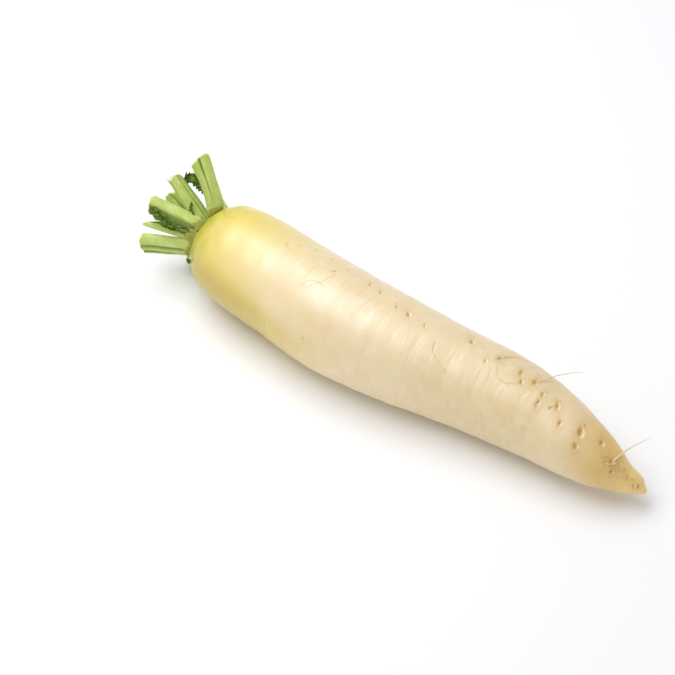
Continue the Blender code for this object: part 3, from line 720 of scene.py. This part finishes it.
def add_node(tree, kind, inputs=(), **settings):
    """Add a shader node, set its properties, and set or link its inputs."""
    made = tree.nodes.new("ShaderNode" + kind)
    for name, value in settings.items():
        setattr(made, name, value)
    for key, value in dict(inputs).items():
        if isinstance(value, Wire):
            tree.links.new(value.socket, made.inputs[key])
        else:
            made.inputs[key].default_value = (*value, 1) if isinstance(value, Color) else value
    return made


class Wire:
    """What a shader node puts out. Arithmetic on it adds the nodes that work it out."""

    def __init__(self, node, output=0):
        self.tree = node.id_data
        self.socket = node.outputs[output]

    def maths(self, operation, first, second=0, clamp=False):
        """One step of arithmetic."""
        inputs = {0: first, 1: second}
        return Wire(add_node(self.tree, "Math", inputs, operation=operation, use_clamp=clamp))

    def __add__(self, other):
        return self.maths("ADD", self, other)

    def __sub__(self, other):
        return self.maths("SUBTRACT", self, other)

    def __rsub__(self, other):
        return self.maths("SUBTRACT", other, self)

    def __mul__(self, other):
        return self.maths("MULTIPLY", self, other)

    def __truediv__(self, other):
        return self.maths("DIVIDE", self, other)

    def __abs__(self):
        return self.maths("ABSOLUTE", self)

    def remap(self, low, high, to_low=0, to_high=1, curve="SMOOTHSTEP"):
        """This value carried from one range to another, and held at its ends."""
        inputs = {0: self, 1: low, 2: high, 3: to_low, 4: to_high}
        return Wire(add_node(self.tree, "MapRange", inputs, interpolation_type=curve))


def noise(place, scale, detail=3, roughness=0.5):
    """Noise from 0 to 1 at a scale in waves a metre."""
    inputs = {"Vector": place, "Scale": scale, "Detail": detail, "Roughness": roughness}
    return Wire(add_node(place.tree, "TexNoise", inputs), "Fac")


def blend(factor, first, second):
    """Two colours mixed by a factor."""
    return Wire(add_node(factor.tree, "Mix", {0: factor, 6: first, 7: second}, data_type="RGBA"), 2)


def stretch(place, scale):
    """A place scaled by its own amount along each axis."""
    return Wire(add_node(place.tree, "Mapping", {"Vector": place, "Scale": scale}))


def axes(place):
    """The three parts of a place."""
    parts = add_node(place.tree, "SeparateXYZ", {0: place})
    return [Wire(parts, axis) for axis in "XYZ"]


def mask(place, name, output="Fac"):
    """What the piece's points store under a name."""
    return Wire(add_node(place.tree, "Attribute", attribute_name=name), output)


def effect(*outputs, **inputs):
    """Make a function of wires into a shared node group, which is built when it is first
    placed. An input is given by its starting value, or by its kind where it has none."""
    def shared(build):
        def put(place, *values):
            group = bpy.data.node_groups.get(build.__name__)
            if not group:
                group = bpy.data.node_groups.new(build.__name__, "ShaderNodeTree")
                sockets = group.interface
                for label, start in inputs.items():
                    kind = start if isinstance(start, str) else "Float"
                    socket = sockets.new_socket(label, in_out="INPUT", socket_type="NodeSocket" + kind)
                    if kind == "Float":
                        socket.default_value = start
                given = group.nodes.new("NodeGroupInput")
                made = build(*(Wire(given, label) for label in inputs))
                result = group.nodes.new("NodeGroupOutput")
                for label, wire in zip(outputs, made):
                    kind = "Color" if label == "Colour" else "Float"
                    sockets.new_socket(label, in_out="OUTPUT", socket_type="NodeSocket" + kind)
                    group.links.new(wire.socket, result.inputs[label])
            node = add_node(place.tree, "Group", dict(zip(inputs, (place, *values))), node_tree=group)
            return [Wire(node, label) for label in outputs]
        return put
    return shared


@effect("Colour", Place="Vector", Size=60, Base="Color", First="Color", Second="Color", Amount=0.5)
def soft_mottling(place, size, base, first, second, amount):
    """Soft patches: a base colour drawn towards a second and a third by two noises."""
    broad = noise(place, size).remap(0.38, 0.66) * amount
    finer = noise(place, size * 3.7, 4, 0.6).remap(0.42, 0.68) * (amount * 0.7)
    return [blend(finer, blend(broad, base, first), second)]


@effect("Lines", "Height", Place="Vector", Size=500, Sharpness=0.5)
def fine_streaks(place, size, sharpness):
    """Fine parallel lines: noise read on a stretched place, as a mask and as a height."""
    height = noise(place, size, 2) * 0.65 + noise(place, size * 2.9, 2, 0.6) * 0.35
    edge = (1 - sharpness) * 0.2
    return height.remap(0.5 - edge, edge + 0.52), height


@effect("Mask", Place="Vector", Size=250, Share=0.2, Spot=0.2)
def scattered_specks(place, size, share, spot):
    """Scattered small round specks: cells of a Voronoi pattern, a share of which carry a
    spot round their centre."""
    cells = add_node(place.tree, "TexVoronoi", {"Vector": place, "Scale": size})
    chance = Wire(add_node(place.tree, "SeparateColor", {0: Wire(cells, "Color")}))
    return [chance.maths("LESS_THAN", chance, share) * Wire(cells, "Distance").remap(spot, 0)]


@effect("Mask", Place="Vector", Edge=0, Size=400, Start=0.6)
def ragged_border(place, edge, size, start):
    """A ragged border: an edge mask broken up by noise."""
    broken = (noise(place, size, 4, 0.7) - 0.5) * 0.9
    return [(edge + broken).remap(start, start + 0.25)]


def new_finish(name, **constants):
    """A material, its shader with these constants, and the place on its piece."""
    material = bpy.data.materials.new(name)
    material.use_nodes = True
    shader = material.node_tree.nodes["Principled BSDF"]
    for label, value in constants.items():
        shader.inputs[label.replace("_", " ")].default_value = value
    return material, shader, Wire(add_node(material.node_tree, "TexCoord"), "Object")


def dress(shader, colour, height, distance, roughness=None):
    """Give a shader its colour, its fine relief and its roughness."""
    bump = Wire(add_node(colour.tree, "Bump", {"Height": height, "Distance": distance}))
    for label, wire in (("Base Color", colour), ("Normal", bump), ("Roughness", roughness)):
        if wire:
            colour.tree.links.new(wire.socket, shader.inputs[label])


def pit_masks(place):
    """Hollow and lip of the pits, from each point's place in its nearest pit: along the
    root, across it, and the pit's size. Noise makes their outlines uneven."""
    along, across, size = axes(mask(place, "pit_place", "Vector"))
    wander = (noise(place, 500) - 0.5) * 2.6
    q = (along + wander) / size / PIT_WIDTH
    p = (across - wander) / size / PIT_LENGTH

    def reach(first, second):
        both = Wire(add_node(place.tree, "CombineXYZ", {0: first, 1: second}))
        return Wire(add_node(place.tree, "VectorMath", {0: both}, operation="LENGTH"), "Value")

    near = mask(place, "pit_near")
    hollow = reach(q + 0.15, p).remap(1.3, 0.35) * near
    return hollow, reach((q - 1.45) * 1.35, p * 1.15).remap(1.1, 0.25) * near


def skin_finish(looks):
    """The root's skin: colours that run from the crown to the tip, with painted shade under
    the crown's shoulder and on the disc, soft mottling, fine rings, creases, and pits with brown
    hollows, pale lips that are partly a painted highlight on their tip side, and tan stains."""
    material, shader, place = new_finish(
        "radish_skin", Subsurface_Weight=0.3, Subsurface_Radius=(1, 0.62, 0.28), Subsurface_Scale=0.004,
        Specular_IOR_Level=0.8, Coat_Weight=0.7, Coat_Roughness=0.42, Coat_IOR=1.8)
    x, _, z = axes(place)
    drifted = x + (noise(place, 14) - 0.5) * 0.06
    # Underneath, the crown's colours reach further along the root: partly the underside's own yellow and
    # olive, partly painted shade.
    underneath = z.remap(0.057, 0.037, 0, UNDERSIDE_SHIFT * MM) * x.remap(-0.02, 0.05, 1, 0)
    share = (drifted - underneath).remap(COLOURS_FROM * MM, TIP_X * MM, curve="LINEAR")
    ramp = add_node(place.tree, "ValToRGB", {0: share})
    stops = ramp.color_ramp.elements
    colours = (
        (-163, looks.olive), (-143, looks.yellow), (-122, looks.crown), (-98, looks.shoulder),
        (-66, looks.upper), (-15, looks.body), (45, looks.body), (100, looks.lower), (130, looks.lower),
        (158, looks.taper), (184, looks.tip), (198, looks.nub))
    while len(stops) < len(colours):
        stops.new(0.5)
    for stop, (at, colour) in zip(stops, colours):
        stop.position = (at - COLOURS_FROM) / (TIP_X - COLOURS_FROM)
        stop.color = (*colour, 1)
    middle = share.remap(0.17, 0.33, 0.03, 0.34) * share.remap(0.85, 0.93, 1, 0.15)
    [colour] = soft_mottling(place, 30, Wire(ramp), looks.warm, looks.pale, middle)

    # Painted shade: near the crown, the underside is drawn towards a dark olive, and the lower it lies, the
    # more.
    colour = blend(z.remap(0.060, 0.042) * drifted.remap(-0.115, 0.01, 0.9, 0), colour, looks.underside_shade)
    ragged = x + (noise(place, 120, 4) - 0.5) * 0.02
    colour = blend(ragged.remap(-0.140, -0.121, 0.8, 0), colour, looks.rim)
    smudges = noise(place, 110, 5, 0.7).remap(0.46, 0.7, 0, 0.5)
    colour = blend(smudges * drifted.remap(-0.128, -0.095, 1, 0), colour, looks.smudge)
    rings, ring_height = fine_streaks(stretch(place, (1, 0.07, 0.07)), 380, 0.2)
    quiet_crown = x.remap(-0.10, -0.05, 0.3, 1)
    colour = blend(rings * (quiet_crown * 0.14), colour, looks.warm)

    off_line = abs(mask(place, "crease_place"))
    tone = mask(place, "crease_tone")
    broken = noise(place, 160, 2).remap(0.3, 0.55, 0.35, 1)
    dark = tone.maths("MULTIPLY", off_line.remap(0.5, 0.12) * broken, tone * 0.55, clamp=True)
    light = tone.maths("MULTIPLY", off_line.remap(0.5, 0.1), tone * -0.6, clamp=True)
    colour = blend(light, blend(dark, colour, looks.crease), looks.pale)

    hollow, lip = pit_masks(place)
    stain = mask(place, "stain") * noise(place, 350).remap(0.32, 0.62, 0.2, 0.95)
    colour = blend(stain, colour, looks.stain)
    # Painted highlight: the lips on the pits' tip side are painted pale, partly their own pale skin and
    # partly the light that catches them.
    colour = blend(lip * x.remap(0.03, 0.08, 0.95, 0.45), colour, looks.pale)
    inside = blend(hollow.remap(0.55, 1, 0, 0.75), looks.pit, looks.core)
    colour = blend(hollow * x.remap(0.03, 0.08, 0.75, 0.88), colour, inside)
    [specks] = scattered_specks(place, 170, 0.05, 0.07)
    colour = blend(specks * 0.45, colour, looks.stain)
    # Painted shade: the disc between the stalks' feet is painted dark green, its own green darkened to stand
    # in for the shade there.
    colour = blend(mask(place, "disc").remap(0.35, 0.9), colour, looks.disc)

    height = ring_height * quiet_crown + noise(place, 900, 4, 0.6) * 0.5
    height = height - hollow * 0.9 + lip * 0.4 - dark * 0.8
    rough = noise(place, 90).remap(0.3, 0.7, 0.37, 0.47) + x.remap(0, 0.14, 0, 0.16) + hollow * 0.25
    dress(shader, colour, height, looks.skin_grain, rough)
    return material


def stalk_finish(looks):
    """A leaf stalk's flesh: pale green with darker fibres along it, painted shade in dark
    green in its bands and its channel, olive at its foot, and a pale pithy cut."""
    material, shader, place = new_finish(
        "stalk_flesh", Roughness=0.42, Subsurface_Weight=0.25, Subsurface_Radius=(0.5, 1, 0.15),
        Subsurface_Scale=0.003)
    grain = Wire(add_node(place.tree, "UVMap", uv_map="grain"))
    [colour] = soft_mottling(place, 130, looks.flesh, looks.light, looks.mid, 0.6)
    fibres, fibre_height = fine_streaks(stretch(grain, (1, 0.04, 1)), 900, 0.4)
    colour = blend(fibres * 0.28, colour, looks.mid)
    ragged = (fibre_height - 0.5) * 0.8
    # Painted shade: dark green in the bands and the channel, ragged at its edges.
    colour = blend((mask(place, "painted_shade") + ragged).remap(0.15, 0.85) * 0.85, colour, looks.painted_shade)
    colour = blend((mask(place, "along") + ragged).remap(0.16, 0) * 0.6, colour, looks.foot)
    [pith] = soft_mottling(place, 420, looks.cut, looks.light, looks.mid, 0.4)
    colour = blend(mask(place, "cut").remap(0.55, 0.95), colour, pith)
    dress(shader, colour, fibre_height + noise(place, 1500) * 0.4, looks.fibre_height)
    return material


def thread_finish(name, roughness, size, base, first, second, amount):
    """A fine dry thread, a torn stalk fibre or a root hair: mottled, with a fine grain."""
    material, shader, place = new_finish(name, Roughness=roughness)
    [colour] = soft_mottling(place, size, base, first, second, amount)
    dress(shader, colour, noise(place, 2500), 0.0001)
    return material


def leaf_base_finish(looks):
    """A torn collar: olive with fibres along it, and an orange-brown ragged rim."""
    material, shader, place = new_finish(
        "torn_collar", Roughness=0.55, Subsurface_Weight=0.1, Subsurface_Radius=(0.8, 0.7, 0.2),
        Subsurface_Scale=0.002)
    [colour] = soft_mottling(place, 220, looks.collar, looks.collar_green, looks.collar_pale, 0.7)
    fibres, height = fine_streaks(stretch(place, (0.15, 1, 1)), 1100, 0.5)
    colour = blend(fibres * 0.4, colour, looks.collar_green)
    [rim] = ragged_border(place, mask(place, "edge"), 600, 0.74)
    dress(shader, blend(rim * 0.8, colour, looks.collar_rim), height, 0.0003)
    return material


def leaf_blade_finish(looks):
    """Crinkled leaf blade: dark green, with a painted highlight on the crests of its folds, and a net of
    veins.
    """
    material, shader, place = new_finish(
        "leaf_blade", Roughness=0.65, Subsurface_Weight=0.1, Subsurface_Radius=(0.4, 1, 0.1),
        Subsurface_Scale=0.001, Specular_IOR_Level=0.25)
    [colour] = soft_mottling(place, 260, looks.blade, looks.blade_dark, looks.blade_light_and_highlight, 0.8)
    # Painted highlight: the crests of the folds are painted lighter.
    colour = blend(mask(place, "fold").remap(0.55, 1) * 0.6, colour, looks.blade_light_and_highlight)
    cells = {"Vector": place, "Scale": 900}
    veins = Wire(add_node(place.tree, "TexVoronoi", cells, feature="DISTANCE_TO_EDGE"), "Distance")
    colour = blend(veins.remap(0.12, 0) * 0.35, colour, looks.blade_light_and_highlight)
    dress(shader, colour, veins + noise(place, 1300), 0.0004)
    return material


# ---------------------------------------------------------------- settings


def tint(name, value, note):
    """A colour that a user may change."""
    return FloatVectorProperty(
        name=name, description=note, default=value, size=3, min=0, max=1, subtype="COLOR")


def position(name, value, note):
    """A place in metres that a user may change."""
    return FloatVectorProperty(name=name, description=note, default=value, size=3, subtype="TRANSLATION")


def number(name, value, least, note):
    """A count of points or pieces that a user may change."""
    return IntProperty(name=name, description=note, default=value, min=least)


def scalar(name, value, note, **limits):
    """A plain number that a user may change."""
    return FloatProperty(name=name, description=note, default=value, **limits)


def metres(name, value, note):
    """A length that a user may change."""
    return scalar(name, value, note, min=0, unit="LENGTH", precision=5)


class SkinLooks(bpy.types.PropertyGroup):
    """The root's skin."""

    rows: number("Rows", 560, 60, "Rows of points along the root")
    columns: number("Columns", 176, 24, "Points round the root")
    crowding: scalar("Crowding", 2, "How much closer the columns stand along the row of pits", min=0)
    swell: metres("Swell", 0.0003, "Height of the slow swells")
    ring_height: metres("Ring height", 0.000045, "Height of the low rings round the root")
    pit_depth: metres("Pit depth", 0.00038, "Depth of a pit of size 1")
    crease_depth: metres("Crease depth", 0.00009, "Depth of a crease")
    skin_grain: metres("Skin grain", 0.0001, "Height of the finest rings and grain")
    boss_height: metres("Boss height", 0.005, "How far the crown's middle stands out")
    rim: tint("Rim", (0.47, 0.46, 0.02), "Round the leaf stalks")
    olive: tint("Olive", (0.56, 0.43, 0.05), "Under the crown")
    # Olive is reached only underneath, through the underside's shift: the crown's own colour darkened as
    # painted shade.
    yellow: tint("Yellow", (0.80, 0.63, 0.05), "At the crown and lower on its side")
    smudge: tint("Smudges", (0.60, 0.44, 0.09), "Smudges on the crown's shoulder")
    crown: tint("Crown", (0.81, 0.64, 0.09), "On the crown's shoulder")
    # Painted shade: the dark olive that darkens the underside under the crown's shoulder.
    underside_shade: tint("Underside", (0.56, 0.385, 0), "Under the crown's shoulder")
    shoulder: tint("Shoulder", (0.84, 0.665, 0.21), "Past the shoulder")
    upper: tint("Upper part", (0.845, 0.68, 0.35), "Where the yellow fades")
    body: tint("Body", (0.835, 0.665, 0.38), "Along the middle of the root")
    lower: tint("Lower part", (0.755, 0.595, 0.31), "Past the middle of the root")
    taper: tint("Taper", (0.82, 0.64, 0.36), "Where the root tapers")
    tip: tint("Tip", (0.73, 0.475, 0.12), "Near the tip")
    nub: tint("Nub", (0.86, 0.60, 0.17), "On the tip's blunt end")
    warm: tint("Warm patches", (0.76, 0.54, 0.25), "Soft warm patches and fine rings")
    # On the pits' lips this paleness is partly a painted highlight.
    pale: tint("Pale patches", (0.90, 0.82, 0.64), "Pale patches, lips and light creases")
    crease: tint("Creases", (0.60, 0.42, 0.19), "In the creases")
    stain: tint("Stains", (0.58, 0.36, 0.09), "Round the pits and in marks")
    pit: tint("Pits", (0.62, 0.36, 0.03), "In the hollows of the pits")
    core: tint("Pit cores", (0.46, 0.22, 0), "At the bottom of the pits")
    # Crown disc: its own green, darkened as painted shade between the stalks.
    disc: tint("Crown disc", (0.22, 0.27, 0.03), "Between the leaf stalks")


class StalkLooks(bpy.types.PropertyGroup):
    """The leaf stalks."""

    rows: number("Rows", 46, 8, "Rows of points along a stalk")
    sides: number("Sides", 72, 12, "Points round a stalk, an even number")
    cap_rows: number("Cut rows", 7, 4, "Rows of points over the cut end")
    frayed: number("Frayed fibres", 8, 0, "Fibres standing out of the frayed end")
    rib_depth: metres("Rib depth", 0.00011, "Height of the fine ribs")
    cut_dish: metres("Cut dish", 0.0005, "How hollow the cut end is")
    fibre_height: metres("Fibre height", 0.0002, "Height of the finest fibres")
    flesh: tint("Stalk", (0.53, 0.63, 0.145), "Most of a stalk")
    light: tint("Light patches", (0.69, 0.77, 0.27), "Lighter patches")
    mid: tint("Fibres", (0.41, 0.50, 0.09), "Darker fibres")
    # Painted shade: the dark green of the shaded bands and the channel.
    painted_shade: tint("Deep green", (0.12, 0.21, 0.015), "Dark bands and the channel")
    foot: tint("Foot", (0.42, 0.42, 0.07), "Where a stalk meets the crown")
    cut: tint("Cut", (0.72, 0.76, 0.45), "The pith of the cut end")


class LeafLooks(bpy.types.PropertyGroup):
    """The leaf bases, the scraps of leaf blade and the crumb."""

    collar_thickness: metres("Collar thickness", 0.0008, "Thickness of a leaf base")
    collar_tear: scalar("Collar tear", 0.34, "How jagged its rim is, as a share of its height", min=0)
    collar_curl: metres("Collar curl", 0.0012, "How far its rim curls outwards")
    scrap_thickness: metres("Scrap thickness", 0.0005, "Thickness of a scrap of leaf")
    scrap_tear: metres("Scrap tear", 0.0006, "How jagged a scrap's edges are")
    crinkle: metres("Crinkle", 0.0007, "Height of a scrap's crinkles")
    collar: tint("Collar", (0.33, 0.34, 0.045), "Most of a leaf base")
    collar_green: tint("Collar green", (0.19, 0.25, 0.02), "Its greener fibres")
    collar_pale: tint("Collar pale", (0.50, 0.44, 0.10), "Its paler patches")
    collar_rim: tint("Collar rim", (0.50, 0.34, 0.055), "Its torn, dried rim")
    blade: tint("Blade", (0.08, 0.155, 0.006), "Most of a scrap")
    blade_dark: tint("Blade dark", (0.025, 0.055, 0.002), "Its darkest patches")
    # Lighter patches and veins, and the painted highlight on the crests of the folds.
    blade_light_and_highlight: tint("Blade light", (0.19, 0.29, 0.03), "Its folds and veins")


class RootletLooks(bpy.types.PropertyGroup):
    """The rootlets."""

    radius: metres("Radius", 0.00026, "Common radius where a rootlet leaves the root")
    kink: metres("Kink", 0.00012, "How far it wanders off its smooth line")
    hair: tint("Hair", (0.84, 0.66, 0.34), "Most of a rootlet")
    hair_dark: tint("Hair dark", (0.60, 0.40, 0.15), "Its browner patches")
    hair_pale: tint("Hair pale", (0.93, 0.82, 0.56), "Its paler patches")


class StageLooks(bpy.types.PropertyGroup):
    """The floor, the lights and the camera."""

    floor_size: metres("Floor size", 6, "Side of the square floor")
    floor: tint("Floor", (0.95, 0.945, 0.93), "Plain and pale")
    sky: scalar("Sky", 0.6, "Strength of the even light from all round", min=0)
    key: scalar("Key", 10.8, "Power of the large soft lamp", min=0, unit="POWER")
    key_colour: tint("Key colour", (0.885, 0.915, 1), "Colour of the large soft lamp")
    key_width: metres("Key width", 1.1, "Width of the large soft lamp")
    key_height: metres("Key height", 0.78, "Height of the large soft lamp")
    key_place: position("Key place", (-0.44, -0.10, 1.12), "Where the large soft lamp hangs")
    azimuth: scalar("Azimuth", math.radians(37), "Way the camera looks round the object", subtype="ANGLE")
    elevation: scalar("Elevation", math.radians(50), "How high the camera looks down from", subtype="ANGLE")
    distance: metres("Distance", 1.5, "From the camera to what it looks at")
    target: position("Target", (-0.018, -0.014, 0.037), "Point that the camera looks at")
    lens: scalar("Lens", 120, "Focal length in millimetres", min=1)


# ---------------------------------------------------------------- operators


class DAIKON_OT_stage(bpy.types.Operator):
    """Build the floor, the lights and the camera."""

    bl_idname = "daikon.stage"
    bl_label = "Stage"

    def execute(self, context):
        scene = context.scene
        looks = scene.daikon_stage
        half = 0.5 * looks.floor_size
        mesh = bpy.data.meshes.new("floor")
        corners = ((-half, -half, 0), (half, -half, 0), (half, half, 0), (-half, half, 0))
        mesh.from_pydata(corners, [], [(0, 1, 2, 3)])
        floor = bpy.data.objects.new("floor", mesh)
        mesh.materials.append(new_finish(
            "plain_floor", Roughness=0.9, Base_Color=(*looks.floor, 1), Specular_IOR_Level=0.1)[0])

        scene.world = bpy.data.worlds.new("studio")
        scene.world.use_nodes = True
        background = scene.world.node_tree.nodes["Background"]
        background.inputs["Color"].default_value = (1, 1, 1, 1)
        background.inputs["Strength"].default_value = looks.sky

        aim = Vector(looks.target)
        light = bpy.data.lights.new("key_lamp", "AREA")
        light.shape = "RECTANGLE"
        light.size = looks.key_width
        light.size_y = looks.key_height
        light.energy = looks.key
        light.color = looks.key_colour
        lamp = bpy.data.objects.new("key_lamp", light)
        lamp.location = looks.key_place
        camera = bpy.data.objects.new("camera", bpy.data.cameras.new("camera"))
        camera.data.lens = looks.lens
        across = math.cos(looks.elevation)
        back = Vector((
            math.sin(looks.azimuth) * across, -math.cos(looks.azimuth) * across, math.sin(looks.elevation)))
        camera.location = aim + back * looks.distance
        for item, way in ((lamp, aim - Vector(looks.key_place)), (camera, -back)):
            item.rotation_euler = way.to_track_quat("-Z", "Y").to_euler()
        for item in (floor, lamp, camera):
            scene.collection.objects.link(item)
        scene.camera = camera
        scene.view_settings.view_transform = "Standard"
        return {"FINISHED"}


class DAIKON_OT_skin(bpy.types.Operator):
    """Build the root's skin."""

    bl_idname = "daikon.skin"
    bl_label = "Root skin"

    def execute(self, context):
        looks = context.scene.daikon_skin
        low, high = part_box("taproot")
        if not low.x < CROWN_X * MM < TIP_X * MM < high.x + MM:
            raise RuntimeError("the frame's taproot isn't as long as the skin's outline")
        x, radius = skin_profile(looks.rows)
        ends = root_centre(x[[0, -1]])
        x, radius = x[1:-1, None], radius[1:-1, None]
        row_middle = np.interp(x, (-80, 0, 80, 150, TIP_X), (72, 74, 86, 100, 118))
        turn = crowded_turn(looks.columns, row_middle[0, 0], looks.crowding)
        x, radius, angle = np.broadcast_arrays(x, radius, turn + (row_middle - row_middle[0]))
        relief, masks = skin_relief(x, angle, looks)
        points = over_root(x, angle, radius + relief * ease(0, 6, radius))
        points[..., 2] = np.maximum(points[..., 2], 0)
        on_disc = x < CROWN_X + RIM_ROUNDING
        # The disc mask marks where the disc between the stalks is painted dark, partly as painted shade.
        masks["disc"] = np.where(on_disc, ease(24.5, 20, radius), 0)
        outwards = crown_frame()[1][2] * looks.boss_height / MM
        boss = np.where(on_disc, ease(21, 8, radius), 0)
        boss = boss * (1 + 0.15 * np.sin(11 * np.radians(angle)))
        ends[0] += outwards
        skin = surface("root_skin", points + boss[..., None] * outwards, poles=ends, masks=masks)
        settle(skin, "taproot", skin_finish(looks))
        return {"FINISHED"}


class DAIKON_OT_stalks(bpy.types.Operator):
    """Build the leaf stalks, one piece for each."""

    bl_idname = "daikon.stalks"
    bl_label = "Leaf stalks"

    def execute(self, context):
        looks = context.scene.daikon_stalks
        finish = stalk_finish(looks)
        thread = thread_finish("torn_fibre", 0.6, 400, looks.mid, looks.foot, looks.cut, 0.9)
        for name, stalk in STALKS.items():
            points, masks, lengths = stalk_points(stalk, looks)
            piece = surface(
                name + "_fine", points, poles=(points[0].mean(axis=0),), zipped=True, masks=masks,
                grain=(lengths, 2.2 * stalk.widths[1]))
            piece.data.set_sharp_from_angle(angle=SHARPEST)
            settle(piece, name, finish)
            if name != FRAYED_STALK:
                continue
            rim = points[looks.rows - 1]
            heading = unit(rim.mean(axis=0) - points[looks.rows - 4].mean(axis=0))
            for k in range(looks.frayed):
                path = fibre_path(rim, heading, FRAYED_SEED + k)
                tube = tube_points(path, np.linspace(*FRAYED_RADII, len(path)), 8)
                fibre = surface("frayed_fibre_%d" % (k + 1), tube, poles=path[[0, -1]])
                settle(fibre, None, thread)
        return {"FINISHED"}


class DAIKON_OT_leaf_bases(bpy.types.Operator):
    """Build the torn collars of older leaves."""

    bl_idname = "daikon.leaf_bases"
    bl_label = "Leaf bases"

    def execute(self, context):
        looks = context.scene.daikon_leaves
        finish = leaf_base_finish(looks)
        build_sheets(LEAF_BASES, leaf_base_points, looks, looks.collar_thickness, finish)
        return {"FINISHED"}


class DAIKON_OT_leaf_scraps(bpy.types.Operator):
    """Build the crinkled scraps of leaf blade and the crumb on the shoulder."""

    bl_idname = "daikon.leaf_scraps"
    bl_label = "Leaf scraps"

    def execute(self, context):
        looks = context.scene.daikon_leaves
        finish = leaf_blade_finish(looks)
        build_sheets(SCRAPS, scrap_points, looks, looks.scrap_thickness, finish)
        rows, columns = CRUMB_GRID
        turn = np.linspace(0, 2 * math.pi, columns, endpoint=False)
        tilt = np.linspace(-0.5 * math.pi, 0.5 * math.pi, rows)[1:-1, None]
        ball = stacked(np.cos(tilt) * np.cos(turn), np.cos(tilt) * np.sin(turn), np.sin(tilt))
        rough = 1 + 0.16 * ripples(ball * 3, 2.6, 71) + 0.07 * ripples(ball * 3, 0.9, 72)
        half = 0.5 * CRUMB_SIZE
        centre = over_root(CRUMB_X, CRUMB_ANGLE, root_radius(CRUMB_X) + half.max() + CRUMB_GAP)
        poles = [centre + (0, 0, side * half[2]) for side in (-1, 1)]
        # Painted highlight: the crumb's most raised bumps are marked to be painted lighter.
        masks = {"fold": np.clip(3 * rough - 2.6, 0, 1)}
        crumb = surface("leaf_crumb_fine", centre + ball * rough[..., None] * half, poles=poles, masks=masks)
        settle(crumb, "leaf_crumb", finish)
        return {"FINISHED"}


class DAIKON_OT_rootlets(bpy.types.Operator):
    """Build the fine side roots."""

    bl_idname = "daikon.rootlets"
    bl_label = "Rootlets"

    def execute(self, context):
        looks = context.scene.daikon_rootlets
        finish = thread_finish("root_hair", 0.5, 180, looks.hair, looks.hair_dark, looks.hair_pale, 0.6)
        for k, (name, (thickness, waypoints)) in enumerate(ROOTLETS.items()):
            path, share = rootlet_path(waypoints, looks.kink / MM, 100 + 7 * k, context.scene.daikon_skin)
            radii = looks.radius / MM * (ROOTLET_END + (thickness - ROOTLET_END) * (1 - share) ** 0.8)
            piece = surface(name + "_fine", tube_points(path, radii, 10), poles=path[[0, -1]])
            settle(piece, name, finish)
        return {"FINISHED"}


class DAIKON_PT_panel(bpy.types.Panel):
    """The radish's pieces and their settings, in the 3D view's sidebar."""

    bl_idname = "DAIKON_PT_panel"
    bl_label = "Daikon radish"
    bl_space_type = "VIEW_3D"
    bl_region_type = "UI"
    bl_category = "Daikon"

    def draw(self, context):
        for operator, settings in STEPS:
            box = self.layout.box()
            box.operator(operator.bl_idname)
            group = getattr(context.scene, settings)
            for name in group.__annotations__:
                box.prop(group, name)


SETTINGS = {
    "daikon_stage": StageLooks,
    "daikon_skin": SkinLooks,
    "daikon_stalks": StalkLooks,
    "daikon_leaves": LeafLooks,
    "daikon_rootlets": RootletLooks,
}
STEPS = (
    (DAIKON_OT_stage, "daikon_stage"),
    (DAIKON_OT_skin, "daikon_skin"),
    (DAIKON_OT_stalks, "daikon_stalks"),
    (DAIKON_OT_leaf_bases, "daikon_leaves"),
    (DAIKON_OT_leaf_scraps, "daikon_leaves"),
    (DAIKON_OT_rootlets, "daikon_rootlets"),
)
CLASSES = (*SETTINGS.values(), *(operator for operator, _ in STEPS), DAIKON_PT_panel)


def register():
    """Register every class and hang the settings on the scene."""
    for kind in CLASSES:
        bpy.utils.register_class(kind)
    for name, group in SETTINGS.items():
        setattr(bpy.types.Scene, name, PointerProperty(type=group))


def unregister():
    """Take the settings off the scene and unregister every class."""
    for name in SETTINGS:
        delattr(bpy.types.Scene, name)
    for kind in reversed(CLASSES):
        bpy.utils.unregister_class(kind)


def main():
    """Build every piece in order."""
    register()
    for operator, _ in STEPS:
        getattr(bpy.ops.daikon, operator.bl_idname.split(".")[1])()


if __name__ == "__main__":
    main()
